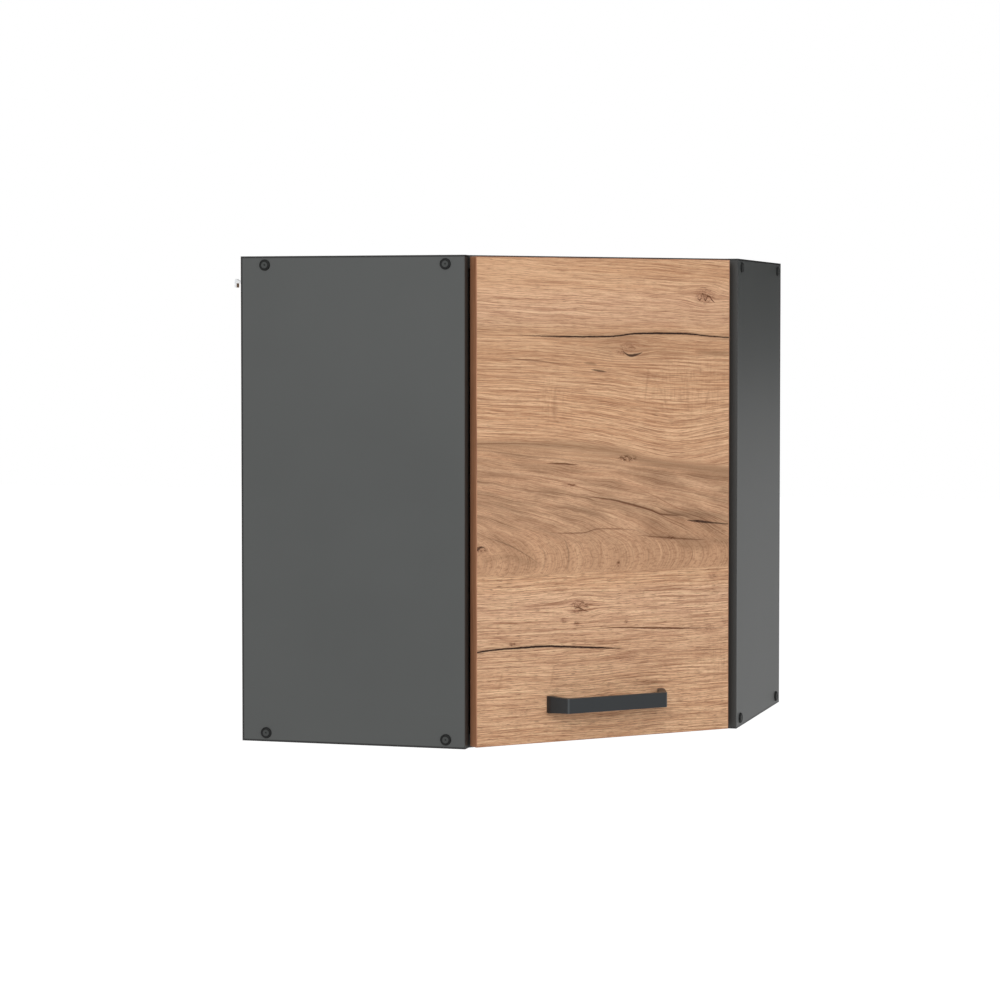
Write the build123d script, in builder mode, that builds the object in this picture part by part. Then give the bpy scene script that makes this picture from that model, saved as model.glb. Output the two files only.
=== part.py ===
from build123d import *
import math
import os

os.makedirs("parts", exist_ok=True)

# A wall cabinet for a room corner. The origin is the lower corner where the two walls meet.
# The left wall is the plane X = 0, the right wall is the plane Y = 0, and Z points up.
# The cabinet fills +X and -Y, and its door closes the diagonal front.

# ---- Carcass sizes, in millimetres ----
height = 600.0              # overall height
wall_side = 567.0           # length along each wall
side_depth = 289.0          # depth of each side panel, edge band included
board = 16.0                # carcass board thickness
band = 1.0                  # edge band thickness
band_edge_r = 0.5           # rounding of an edge band's outer edges
back_board = 3.0            # thin back panel
back_inset = 12.0           # back panel's distance from the wall
groove_depth = 8.0          # how deep a back panel sits in a board
groove_play = 0.2           # clearance round a back panel in its groove
corner_post_size = 30.0     # square post in the rear corner
corner_post_play = 0.2      # clearance between the post and the back panels

# ---- Shelf ----
shelf_height = 292.0        # underside of the shelf
shelf_board = 16.0
shelf_play = 1.0            # clearance at the sides, the backs and the post
shelf_setback = 25.0        # from the carcass front
shelf_pin_r = 2.5
shelf_pin_reach = 7.5
shelf_pin_seat = 8.0        # how deep a pin sits in its board
shelf_pin_pad = 2.0         # thickness of the pin's flat seat
shelf_pin_drop = 3.0        # from the shelf's underside to the pin's axis
shelf_pin_from_rear = 70.0
shelf_pin_from_front = 70.0
pin_hole_pitch = 32.0
pin_hole_steps = 2          # spare levels above and below the shelf
hole_play = 0.05            # radial clearance of a shank in its hole

# ---- Fasteners of the carcass ----
confirmat_r = 3.5
confirmat_length = 50.0
confirmat_head_r = 5.0
confirmat_socket = 4.0      # across the flats of the hexagonal socket
confirmat_socket_depth = 5.0
cap_r = 6.9
cap_rise = 2.2
cap_stem_r = 1.8
cap_stem_length = 4.0
screw_from_edge = 10.8      # screw axis to the board's upper or lower edge
screw_from_front = 24.7
left_screw_from_rear = 31.5
right_screw_from_rear = 24.8
dowel_r = 4.0
dowel_length = 30.0
dowel_in_side = 11.0
dowel_depths = (105.0, 190.0)

# ---- Hangers ----
hanger_height = 60.0
hanger_width = 16.5
hanger_length = 47.0
hanger_top_gap = 0.5
hook_reach = 15.0           # how far the hook stands out behind the walls' plane
hook_from_top = 27.3        # hook's upper face below the cabinet's top
hook_width = 9.0
hook_metal = 2.5
hook_tip = 10.7
hook_drop = 3.0             # arm's upper face below the hook's top
hook_slope_start = 9.0      # slope up to the hook's top, behind the walls' plane
hook_from_side = 2.0
hook_in_case = 30.0
hook_play = 0.3
hanger_screw_r = 2.0
hanger_screw_bite = 11.0
hanger_screw_drops = (32.0, 50.0)
adjust_screw_r = 2.5
adjust_screw_length = 10.0
adjust_screw_gap = 10.0     # between the hook's arm and each adjusting screw's axis

# ---- Door ----
door_board = 16.0
door_gap = 2.0              # between the door's back and the carcass front
door_top_gap = 2.0
door_bottom_gap = 2.0
hinge_margin = 16.5         # cabinet's right front corner to the door's hinge edge
handle_margin = 12.0        # cabinet's left front corner to the door's handle edge
bumper_r = 4.0
bumper_thickness = 1.7
bumper_inset = 7.0          # bumper axis to the door's upper or lower edge
bumper_from_side = 14.0

# ---- Handle ----
handle_centres = 160.0
handle_length = 168.0
handle_front_length = 142.2
handle_standoff = 31.0
handle_bar = 6.0            # thickness of the front bar
handle_band = 18.5          # height of the flat band
handle_foot = 8.0           # foot length along the door
handle_foot_rise = 5.0
handle_foot_lean = 0.2
handle_above_edge = 47.0    # handle's middle above the door's lower edge
handle_corner_r = 2.5
handle_inner_r = 18.0
handle_edge = 0.5           # broken edge round the band's upper and lower rims
handle_flare = 1.3          # how far each leg widens up and down towards its foot
handle_flare_length = 16.0  # length of the widening along the door
handle_screw_r = 2.0
handle_screw_length = 22.0
handle_hole_depth = 7.0

# ---- Hinges ----
hinge_from_end = 98.0       # hinge axis to the door's upper or lower edge
cup_r = 17.4
cup_hole_r = 17.5
cup_hole_depth = 12.0
cup_depth = 11.7
cup_floor = 1.0
cup_from_edge = 4.0         # cup hole's rim to the door's hinge edge
flange = 1.0
flange_length = 32.0
flange_ear = 16.0
flange_half_height = 29.5
cup_screw_pitch = 48.0
cup_screw_offset = 6.0
cup_screw_r = 1.75
cup_screw_length = 11.0
pocket_length = 29.8
pocket_height = 14.4
pivot_r = 1.15
eye_play = 0.05
open_eye_play = 0.35        # the inner link's loose eye on its cup pin
link_half = 1.2             # half the width of a link's strip
outer_link_low = 4.2
outer_link_high = 6.4
inner_link_half = 3.8
arm_cheek_low = 6.7
arm_cheek_high = 8.2
arm_metal = 1.2
arm_web_end = 0.5           # web's front end behind the carcass front
arm_step_front = 9.0
arm_step_rear = 16.0
outer_arm_eye = 2.0
outer_cup_eye = 2.2
inner_eye = 2.35
pin_half = 9.2              # half length of a cup pin
arm_front_lift = 0.3
arm_plate_lift = 5.4
arm_length = 60.0
plate_front = 24.0
plate_rear = 58.0
plate_line = 37.0           # screw line behind the carcass front
plate_base = 2.5
plate_body_half = 6.4
plate_wing_half = 24.0
plate_wing_length = 13.0
plate_screw_pitch = 32.0
plate_screw_r = 2.5
plate_screw_length = 11.0
arm_screw_line = 50.0
arm_screw_r = 2.0
arm_screw_floor = 1.0

# Pivots of the four-bar linkage in plan, along the door and out of its front.
# The arm's pivots are measured from the side panel's inner front corner.
outer_arm_pivot = (3.04, 1.12)
inner_arm_pivot = (2.08, -3.95)
# The cup's pivots are measured from the cup's centre and the door's back.
outer_cup_pivot = (-6.62, 7.75)
inner_cup_pivot = (-12.11, 8.01)
# Bends of each link between its two pivots, measured from its arm pivot.
outer_link_bends = (
    (0.3, -1.6),
    (4.7, -6.3),
    (7.9, -8.6),
    (13.6, -8.7),
    (18.2, -4.2),
    (17.9, -0.8),
    (17.3, 4.2),
)
inner_link_bends = (
    (5.1, 0.0),
    (9.6, -1.1),
    (14.9, -1.3),
    (21.5, 5.9),
    (21.5, 7.4),
    (18.6, 10.2),
    (15.0, 12.6),
)

# ---- Derived places ----
root_half = math.sqrt(0.5)
inner = wall_side - board                       # inner face of each side
front_sum = side_depth + inner                  # X - Y along the carcass front
panel_front_sum = front_sum - band / root_half  # X - Y along the boards' front, under the band
diagonal = (wall_side - side_depth) / root_half
back_front = back_inset + back_board            # inner face of a back panel
door_back = -board * root_half + door_gap
door_front = door_back + door_board
door_low = door_bottom_gap
door_high = height - door_top_gap
door_start = hinge_margin
door_end = diagonal - handle_margin
handle_centre = (door_start + door_end) / 2
handle_z = door_low + handle_above_edge
cup_centre = door_start + cup_from_edge + cup_hole_r
hinge_heights = (("upper", door_high - hinge_from_end), ("lower", door_low + hinge_from_end))
hook_top = height - hook_from_top

# Plan plane of the front: X runs along the door from the hinge side, Y points out of the room corner.
front = Plane(origin=(wall_side, -side_depth, 0), x_dir=(-1, -1, 0), z_dir=(0, 0, 1))
# The left half of the carcass mirrors onto the right half in this plane.
halving = Plane(origin=(0, 0, 0), x_dir=(0, 0, 1), z_dir=(1, 1, 0))


def on_door(s, n, z):
    """Plane parallel to the door whose normal points out of the front."""
    return Plane(origin=front.from_local_coords((s, n, z)), x_dir=(-1, -1, 0), z_dir=(1, -1, 0))


def into_door_back(s, n, z):
    """Plane parallel to the door whose normal points into the cabinet."""
    return Plane(origin=front.from_local_coords((s, n, z)), x_dir=(1, 1, 0), z_dir=(-1, 1, 0))


def on_left_side(x, z):
    """Plane on the left side's outer face, normal outwards."""
    return Plane(origin=(x, -wall_side, z), x_dir=(1, 0, 0), z_dir=(0, -1, 0))


def on_right_side(y, z):
    """Plane on the right side's outer face, normal outwards."""
    return Plane(origin=(wall_side, y, z), x_dir=(0, 1, 0), z_dir=(1, 0, 0))


def finish(part, name):
    part.label = name
    export_step(part, f"parts/{name}.step")


def pan_screw(head_r, head_h, shank_r, length):
    """Screw along Z with its head's underside at Z = 0."""
    with BuildPart() as screw:
        with BuildSketch(Plane.XY):
            Circle(shank_r)
        extrude(amount=-length)
        chamfer(screw.edges().sort_by(Axis.Z)[0], shank_r / 2)
        with BuildSketch(Plane.XY):
            Circle(head_r)
        extrude(amount=head_h)
        fillet(screw.edges().sort_by(Axis.Z)[-1], head_h / 3)
        with BuildSketch(Plane.XY.offset(head_h)):
            Rectangle(head_r, head_r / 4)
            Rectangle(head_r / 4, head_r)
        extrude(amount=-head_h / 2, mode=Mode.SUBTRACT)
    return screw.part


# ---- Places shared by boards and fasteners ----
screw_heights = (screw_from_edge, height - screw_from_edge)
left_screw_places = [
    on_left_side(x, z)
    for x in (left_screw_from_rear, side_depth - screw_from_front)
    for z in screw_heights
]
right_screw_places = [
    on_right_side(-y, z)
    for y in (right_screw_from_rear, side_depth - screw_from_front)
    for z in screw_heights
]
dowel_heights = (board / 2, height - board / 2)
dowel_hole_r = dowel_r + hole_play
# Dowel axes, starting inside the side boards.
left_dowel_places = [
    Plane(origin=(x, -inner - dowel_in_side, z), x_dir=(1, 0, 0), z_dir=(0, 1, 0))
    for x in dowel_depths
    for z in dowel_heights
]
right_dowel_places = [
    Plane(origin=(inner + dowel_in_side, -x, z), x_dir=(0, 1, 0), z_dir=(-1, 0, 0))
    for x in dowel_depths
    for z in dowel_heights
]
post_centre = back_front + corner_post_play + corner_post_size / 2
post_dowel_places = [
    Plane(origin=(post_centre, -post_centre, z), z_dir=(0, 0, 1))
    for z in (board - dowel_in_side, height - board + dowel_in_side - dowel_length)
]
pin_axis_z = shelf_height - shelf_pin_drop
pin_levels = [pin_axis_z + pin_hole_pitch * k for k in range(-pin_hole_steps, pin_hole_steps + 1)]
pin_depths = (shelf_pin_from_rear, side_depth - shelf_pin_from_front)
# Pin axes point out of the boards into the cabinet, with local Y up.
left_pin_places = [
    [Plane(origin=(x, -inner, z), x_dir=(-1, 0, 0), z_dir=(0, 1, 0)) for x in pin_depths]
    for z in pin_levels
]
right_pin_places = [
    [Plane(origin=(inner, -x, z), x_dir=(0, 1, 0), z_dir=(-1, 0, 0)) for x in pin_depths]
    for z in pin_levels
]
post_face = back_front + corner_post_play + corner_post_size
post_pin_places = [
    Plane(origin=(post_face, -post_centre, z), x_dir=(0, -1, 0), z_dir=(1, 0, 0)) for z in pin_levels
]
# Mounting plate screws point out of the right side's inner face, with local Y up.
plate_screw_places = [
    Plane(origin=(inner, -side_depth + plate_line, z + dz), x_dir=(0, 1, 0), z_dir=(-1, 0, 0))
    for _, z in hinge_heights
    for dz in (-plate_screw_pitch / 2, plate_screw_pitch / 2)
]
hanger_top = height - board - hanger_top_gap
hanger_screw_x = back_front + hanger_length / 2
# Hanger fixing screws point from the left hanger into the cabinet.
hanger_screw_places = [
    Plane(origin=(hanger_screw_x, -inner + hanger_width, hanger_top - drop), x_dir=(1, 0, 0), z_dir=(0, 1, 0))
    for drop in hanger_screw_drops
]

# ---- Left side panel ----
back_end = inner + groove_depth - groove_play       # a back panel's reach along its wall
with BuildPart() as left_side_panel:
    with BuildSketch(Plane.XY):
        with Locations((0, -wall_side)):
            Rectangle(side_depth - band, board, align=(Align.MIN, Align.MIN))
    extrude(amount=height)
    with BuildSketch(Plane.XY.offset(board - groove_depth)):
        with Locations((back_inset - groove_play, -inner - groove_depth)):
            Rectangle(back_board + 2 * groove_play, groove_depth, align=(Align.MIN, Align.MIN))
    extrude(amount=height - 2 * (board - groove_depth), mode=Mode.SUBTRACT)
    for place in left_screw_places:
        with BuildSketch(place):
            Circle(confirmat_r + hole_play)
        extrude(amount=-board, mode=Mode.SUBTRACT)
        with BuildSketch(place):
            Circle(confirmat_head_r + hole_play)
        extrude(amount=-(confirmat_head_r - confirmat_r), taper=45, mode=Mode.SUBTRACT)
    for place in left_dowel_places:
        with BuildSketch(place):
            Circle(dowel_hole_r)
        extrude(amount=dowel_in_side, mode=Mode.SUBTRACT)
    for level in left_pin_places:
        for place in level:
            with BuildSketch(place):
                Circle(shelf_pin_r + hole_play)
            extrude(amount=-shelf_pin_seat, mode=Mode.SUBTRACT)
    for place in hanger_screw_places:
        with BuildSketch(place.offset(-hanger_width)):
            Circle(hanger_screw_r + hole_play)
        extrude(amount=-hanger_screw_bite, mode=Mode.SUBTRACT)
finish(left_side_panel.part, "left_side_panel")

# ---- Right side panel ----
with BuildPart() as right_side_panel:
    with BuildSketch(Plane.XY):
        with Locations((inner, -side_depth + band)):
            Rectangle(board, side_depth - band, align=(Align.MIN, Align.MIN))
    extrude(amount=height)
    with BuildSketch(Plane.XY.offset(board - groove_depth)):
        with Locations((inner, -back_front - groove_play)):
            Rectangle(groove_depth, back_board + 2 * groove_play, align=(Align.MIN, Align.MIN))
    extrude(amount=height - 2 * (board - groove_depth), mode=Mode.SUBTRACT)
    for place in right_screw_places:
        with BuildSketch(place):
            Circle(confirmat_r + hole_play)
        extrude(amount=-board, mode=Mode.SUBTRACT)
        with BuildSketch(place):
            Circle(confirmat_head_r + hole_play)
        extrude(amount=-(confirmat_head_r - confirmat_r), taper=45, mode=Mode.SUBTRACT)
    for place in right_dowel_places:
        with BuildSketch(place):
            Circle(dowel_hole_r)
        extrude(amount=dowel_in_side, mode=Mode.SUBTRACT)
    for level in right_pin_places:
        for place in level:
            with BuildSketch(place):
                Circle(shelf_pin_r + hole_play)
            extrude(amount=-shelf_pin_seat, mode=Mode.SUBTRACT)
    for place in plate_screw_places:
        with BuildSketch(place):
            Circle(plate_screw_r + hole_play)
        extrude(amount=-plate_screw_length, mode=Mode.SUBTRACT)
    for drop in hanger_screw_drops:
        with BuildSketch(Plane(origin=(inner, -hanger_screw_x, hanger_top - drop), z_dir=(1, 0, 0))):
            Circle(hanger_screw_r + hole_play)
        extrude(amount=hanger_screw_bite, mode=Mode.SUBTRACT)
finish(right_side_panel.part, "right_side_panel")


# ---- Top and bottom panels ----
def corner_outline(rear, side, diagonal_sum):
    """Plan outline between two side planes, behind the diagonal front."""
    return [
        (rear, -rear),
        (rear, -side),
        (diagonal_sum - side, -side),
        (side, side - diagonal_sum),
        (side, -rear),
    ]


def level_panel(low, groove_low, screw_z, dowel_z, post_dowel_low):
    """A level board with its back groove, screw holes and dowel holes."""
    with BuildPart() as panel:
        with BuildSketch(Plane.XY.offset(low)):
            with BuildLine():
                Polyline(*corner_outline(0, inner, panel_front_sum), close=True)
            make_face()
        extrude(amount=board)
        with BuildSketch(Plane.XY.offset(groove_low)):
            with Locations((back_inset - groove_play, -back_inset + groove_play)):
                Rectangle(back_board + 2 * groove_play, inner, align=(Align.MIN, Align.MAX))
                Rectangle(inner, back_board + 2 * groove_play, align=(Align.MIN, Align.MAX))
        extrude(amount=groove_depth, mode=Mode.SUBTRACT)
        for place in left_screw_places + right_screw_places:
            if abs(place.origin.Z - screw_z) < board:
                with BuildSketch(place.offset(-board)):
                    Circle(confirmat_r + hole_play)
                extrude(amount=-(confirmat_length - board), mode=Mode.SUBTRACT)
        for place in left_dowel_places + right_dowel_places:
            if abs(place.origin.Z - dowel_z) < board:
                with BuildSketch(place.offset(dowel_in_side)):
                    Circle(dowel_hole_r)
                extrude(amount=dowel_length - dowel_in_side, mode=Mode.SUBTRACT)
        with BuildSketch(Plane.XY.offset(post_dowel_low)):
            with Locations((post_centre, -post_centre)):
                Circle(dowel_hole_r)
        extrude(amount=dowel_in_side, mode=Mode.SUBTRACT)
    return panel.part


bottom_panel = level_panel(0, board - groove_depth, screw_heights[0], dowel_heights[0], board - dowel_in_side)
finish(bottom_panel, "bottom_panel")
top_panel = level_panel(height - board, height - board, screw_heights[1], dowel_heights[1], height - board)
finish(top_panel, "top_panel")

# ---- Back panels, each with a cut-out for its hanger's hook ----
cutout_low = hook_top - hook_tip - 5 * hook_play
cutout_high = hook_top + 5 * hook_play
cutout_side = inner - hook_from_side - hook_width - 5 * hook_play
with BuildPart() as back_panel_left:
    with BuildSketch(Plane.XY.offset(board - groove_depth + groove_play)):
        with Locations((back_inset, -back_end)):
            Rectangle(back_board, back_end - back_inset, align=(Align.MIN, Align.MIN))
    extrude(amount=height - 2 * (board - groove_depth + groove_play))
    with BuildSketch(Plane.XY.offset(cutout_low)):
        with Locations((back_inset, -inner)):
            Rectangle(back_board, inner - cutout_side, align=(Align.MIN, Align.MIN))
    extrude(amount=cutout_high - cutout_low, mode=Mode.SUBTRACT)
finish(back_panel_left.part, "back_panel_left")

with BuildPart() as back_panel_right:
    with BuildSketch(Plane.XY.offset(board - groove_depth + groove_play)):
        with Locations((back_front, -back_front)):
            Rectangle(back_end - back_front, back_board, align=(Align.MIN, Align.MIN))
    extrude(amount=height - 2 * (board - groove_depth + groove_play))
    with BuildSketch(Plane.XY.offset(cutout_low)):
        with Locations((inner, -back_front)):
            Rectangle(inner - cutout_side, back_board, align=(Align.MAX, Align.MIN))
    extrude(amount=cutout_high - cutout_low, mode=Mode.SUBTRACT)
finish(back_panel_right.part, "back_panel_right")

# ---- Corner post ----
with BuildPart() as corner_post:
    with BuildSketch(Plane.XY.offset(board)):
        with Locations((post_centre, -post_centre)):
            Rectangle(corner_post_size, corner_post_size)
    extrude(amount=height - 2 * board)
    for low in (board, height - board - dowel_length + dowel_in_side):
        with BuildSketch(Plane.XY.offset(low)):
            with Locations((post_centre, -post_centre)):
                Circle(dowel_hole_r)
        extrude(amount=dowel_length - dowel_in_side, mode=Mode.SUBTRACT)
    for place in post_pin_places:
        with BuildSketch(place):
            Circle(shelf_pin_r + hole_play)
        extrude(amount=-shelf_pin_seat, mode=Mode.SUBTRACT)
finish(corner_post.part, "corner_post")

# ---- Shelf, notched round the corner post ----
shelf_front_sum = front_sum - shelf_setback / root_half
shelf_board_sum = shelf_front_sum - band / root_half
shelf_rear = back_front + shelf_play
shelf_side = inner - shelf_play
with BuildPart() as shelf:
    with BuildSketch(Plane.XY.offset(shelf_height)):
        with BuildLine():
            Polyline(*corner_outline(shelf_rear, shelf_side, shelf_board_sum), close=True)
        make_face()
        with Locations((shelf_rear, -shelf_rear)):
            notch = post_face + shelf_play - shelf_rear
            Rectangle(notch, notch, align=(Align.MIN, Align.MAX), mode=Mode.SUBTRACT)
    extrude(amount=shelf_board)
finish(shelf.part, "shelf")


# ---- Edge bands of the carcass and the shelf ----
def diagonal_band(low, thickness, side, board_sum, band_sum):
    """Band along a diagonal board edge, cut off at the side planes."""
    with BuildPart() as strip:
        with BuildSketch(Plane.XY.offset(low)):
            with BuildLine():
                Polyline(
                    (board_sum - side, -side),
                    (band_sum - side, -side),
                    (side, side - band_sum),
                    (side, side - board_sum),
                    close=True,
                )
            make_face()
        extrude(amount=thickness)
        long_edges = strip.edges().filter_by(Axis((0, 0, 0), (1, 1, 0)))
        fillet(long_edges.group_by(Axis((0, 0, 0), (1, -1, 0)))[-1], band_edge_r)
    return strip.part


bottom_edge_band = diagonal_band(0, board, inner, panel_front_sum, front_sum)
finish(bottom_edge_band, "bottom_edge_band")
top_edge_band = diagonal_band(height - board, board, inner, panel_front_sum, front_sum)
finish(top_edge_band, "top_edge_band")
shelf_edge_band = diagonal_band(shelf_height, shelf_board, shelf_side, shelf_board_sum, shelf_front_sum)
finish(shelf_edge_band, "shelf_edge_band")

with BuildPart() as left_side_edge_band:
    with BuildSketch(Plane.XY):
        with Locations((side_depth - band, -wall_side)):
            Rectangle(band, board, align=(Align.MIN, Align.MIN))
    extrude(amount=height)
    fillet(left_side_edge_band.edges().filter_by(Axis.Z).group_by(Axis.X)[-1], band_edge_r)
finish(left_side_edge_band.part, "left_side_edge_band")

with BuildPart() as right_side_edge_band:
    mirror(left_side_edge_band.part, about=halving)
finish(right_side_edge_band.part, "right_side_edge_band")

# ---- Confirmat screws and their caps ----
with BuildPart() as one_confirmat:
    with BuildSketch(Plane.XY):
        Circle(confirmat_r)
    extrude(amount=-confirmat_length)
    chamfer(one_confirmat.edges().sort_by(Axis.Z)[0], confirmat_r / 2)
    with BuildSketch(Plane.XY):
        Circle(confirmat_head_r)
    extrude(amount=-(confirmat_head_r - confirmat_r), taper=45)
    with BuildSketch(Plane.XY):
        RegularPolygon(confirmat_socket / 2, 6, major_radius=False)
    extrude(amount=-confirmat_socket_depth, mode=Mode.SUBTRACT)

with BuildPart() as confirmat_screws:
    with Locations(*[place.location for place in left_screw_places + right_screw_places]):
        add(one_confirmat.part)
finish(confirmat_screws.part, "confirmat_screws")

with BuildPart() as one_cap:
    with BuildSketch(Plane.XZ):
        with BuildLine():
            Line((0, -cap_stem_length), (cap_stem_r, -cap_stem_length))
            Line((cap_stem_r, -cap_stem_length), (cap_stem_r, 0))
            Line((cap_stem_r, 0), (cap_r, 0))
            Line((cap_r, 0), (cap_r, cap_rise * 0.3))
            Spline(
                (cap_r, cap_rise * 0.3),
                (cap_r * 0.9, cap_rise * 0.78),
                (cap_r * 0.72, cap_rise),
                tangents=[(0, 1), (-1, 0)],
            )
            Line((cap_r * 0.72, cap_rise), (cap_r * 0.62, cap_rise * 0.7))
            Line((cap_r * 0.62, cap_rise * 0.7), (cap_r * 0.22, cap_rise * 0.82))
            Line((cap_r * 0.22, cap_rise * 0.82), (0, cap_rise * 0.55))
            Line((0, cap_rise * 0.55), (0, -cap_stem_length))
        make_face()
    revolve(axis=Axis.Z)

with BuildPart() as screw_caps:
    with Locations(*[place.location for place in left_screw_places + right_screw_places]):
        add(one_cap.part)
finish(screw_caps.part, "screw_caps")

# ---- Dowels ----
with BuildPart() as one_dowel:
    with BuildSketch(Plane.XY):
        Circle(dowel_r)
    extrude(amount=dowel_length)
    chamfer(one_dowel.edges().filter_by(GeomType.CIRCLE), dowel_r / 5)

with BuildPart() as dowels:
    with Locations(*[p.location for p in left_dowel_places + right_dowel_places + post_dowel_places]):
        add(one_dowel.part)
finish(dowels.part, "dowels")

# ---- Shelf pins: a round shank in the board and a flat seat under the shelf ----
with BuildPart() as one_pin:
    with BuildSketch(Plane.XY.offset(-shelf_pin_seat)):
        Circle(shelf_pin_r)
    extrude(amount=shelf_pin_seat + shelf_pin_reach)
    with BuildSketch(Plane.XY):
        with Locations((0, shelf_pin_drop - shelf_pin_pad)):
            Rectangle(4 * shelf_pin_r, shelf_pin_pad, align=(Align.CENTER, Align.MIN))
    extrude(amount=shelf_pin_reach)

with BuildPart() as shelf_pins:
    used = left_pin_places[pin_hole_steps] + right_pin_places[pin_hole_steps]
    used.append(post_pin_places[pin_hole_steps])
    with Locations(*[place.location for place in used]):
        add(one_pin.part)
finish(shelf_pins.part, "shelf_pins")

# ---- Hangers: case, hook and screws; the right one mirrors the left one ----
hook_arm_high = hook_top - hook_drop
hook_arm_low = hook_arm_high - hook_metal
with BuildPart() as left_hanger_case:
    with BuildSketch(Plane.XY.offset(hanger_top - hanger_height)):
        with Locations((back_front, -inner)):
            Rectangle(hanger_length, hanger_width, align=(Align.MIN, Align.MIN))
    extrude(amount=hanger_height)
    fillet(left_hanger_case.edges().filter_by(Axis.Z).group_by(Axis.Y)[-1], 2.0)
    with BuildSketch(Plane.XY.offset(hook_arm_low - hook_play)):
        with Locations((back_front, -inner + hook_from_side - hook_play)):
            Rectangle(hook_in_case + hook_play, hook_width + 2 * hook_play, align=(Align.MIN, Align.MIN))
    extrude(amount=hook_metal + 2 * hook_play, mode=Mode.SUBTRACT)
    for place in hanger_screw_places:
        with BuildSketch(place):
            Circle(hanger_screw_r + hole_play)
        extrude(amount=-hanger_width, mode=Mode.SUBTRACT)
    hook_line = -inner + hook_from_side + hook_width / 2
    adjust_places = [
        Plane(origin=(back_front + hanger_length, hook_line, z), x_dir=(0, 1, 0), z_dir=(1, 0, 0))
        for z in (hook_arm_low - adjust_screw_gap, hook_arm_low - 2 * adjust_screw_gap)
    ]
    for place in adjust_places:
        with BuildSketch(place):
            Circle(adjust_screw_r + hole_play)
        extrude(amount=-adjust_screw_length, mode=Mode.SUBTRACT)
finish(left_hanger_case.part, "left_hanger_case")

with BuildPart() as right_hanger_case:
    mirror(left_hanger_case.part, about=halving)
finish(right_hanger_case.part, "right_hanger_case")

with BuildPart() as left_hanger_hook:
    with BuildSketch(Plane.XZ.offset(inner - hook_from_side - hook_width)):
        with BuildLine():
            Polyline(
                (back_front + hook_in_case, hook_arm_low),
                (back_front + hook_in_case, hook_arm_high),
                (-hook_slope_start, hook_arm_high),
                (-hook_reach + hook_metal / 2, hook_top),
                (-hook_reach, hook_top - hook_metal / 2),
                (-hook_reach, hook_top - hook_tip),
                (-hook_reach + hook_metal, hook_top - hook_tip),
                (-hook_reach + hook_metal, hook_arm_low),
                close=True,
            )
        make_face()
    extrude(amount=hook_width)
finish(left_hanger_hook.part, "left_hanger_hook")

with BuildPart() as right_hanger_hook:
    mirror(left_hanger_hook.part, about=halving)
finish(right_hanger_hook.part, "right_hanger_hook")

hanger_screw = pan_screw(4.0, 2.2, hanger_screw_r, hanger_width + hanger_screw_bite)
with BuildPart() as hanger_fixing_screws:
    with Locations(*[place.location for place in hanger_screw_places]):
        add(hanger_screw)
    mirror(about=halving)
finish(hanger_fixing_screws.part, "hanger_fixing_screws")

adjust_screw = pan_screw(3.6, 1.6, adjust_screw_r, adjust_screw_length)
with BuildPart() as hanger_adjusting_screws:
    with Locations(*[place.location for place in adjust_places]):
        add(adjust_screw)
    mirror(about=halving)
finish(hanger_adjusting_screws.part, "hanger_adjusting_screws")

# ---- Door panel ----
handle_screw_places = [
    (handle_centre - handle_centres / 2, handle_z),
    (handle_centre + handle_centres / 2, handle_z),
]
cup_screw_places = [
    (cup_centre + cup_screw_offset, z + dz)
    for _, z in hinge_heights
    for dz in (-cup_screw_pitch / 2, cup_screw_pitch / 2)
]
with BuildPart() as door_panel:
    with BuildSketch(front.offset(door_low + band)):
        with Locations((door_start + band, door_back)):
            Rectangle(door_end - door_start - 2 * band, door_board, align=(Align.MIN, Align.MIN))
    extrude(amount=door_high - door_low - 2 * band)
    for _, z in hinge_heights:
        with BuildSketch(on_door(cup_centre, door_back, z)):
            Circle(cup_hole_r)
        extrude(amount=cup_hole_depth, mode=Mode.SUBTRACT)
    for s, z in cup_screw_places:
        with BuildSketch(on_door(s, door_back, z)):
            Circle(cup_screw_r + hole_play)
        extrude(amount=cup_screw_length - flange, mode=Mode.SUBTRACT)
    for s, z in handle_screw_places:
        with BuildSketch(on_door(s, door_back, z)):
            Circle(handle_screw_r + hole_play)
        extrude(amount=door_board, mode=Mode.SUBTRACT)
finish(door_panel.part, "door_panel")



def on_door_rim(edge):
    """True for an edge of the door's outline."""
    place = front.to_local_coords(edge.center())
    from_side = min(abs(place.X - door_start), abs(place.X - door_end))
    from_end = min(abs(place.Z - door_low), abs(place.Z - door_high))
    return min(from_side, from_end) < band / 2


with BuildPart() as door_edge_bands:
    for s in (door_start, door_end - band):
        with BuildSketch(front.offset(door_low)):
            with Locations((s, door_back)):
                Rectangle(band, door_board, align=(Align.MIN, Align.MIN))
        extrude(amount=door_high - door_low)
    for low in (door_low, door_high - band):
        with BuildSketch(front.offset(low)):
            with Locations((door_start + band, door_back)):
                Rectangle(door_end - door_start - 2 * band, door_board, align=(Align.MIN, Align.MIN))
        extrude(amount=band)
    fillet(door_edge_bands.edges().filter_by(on_door_rim), band_edge_r)
finish(door_edge_bands.part, "door_edge_bands")

with BuildPart() as one_bumper:
    with BuildSketch(Plane.XY):
        Circle(bumper_r)
    extrude(amount=bumper_thickness)
    fillet(one_bumper.edges().sort_by(Axis.Z)[-1], bumper_thickness / 3)

bumper_places = [
    into_door_back(door_end - bumper_from_side, door_back, z)
    for z in (door_low + bumper_inset, door_high - bumper_inset)
]
with BuildPart() as door_bumpers:
    with Locations(*[place.location for place in bumper_places]):
        add(one_bumper.part)
finish(door_bumpers.part, "door_bumpers")

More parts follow.
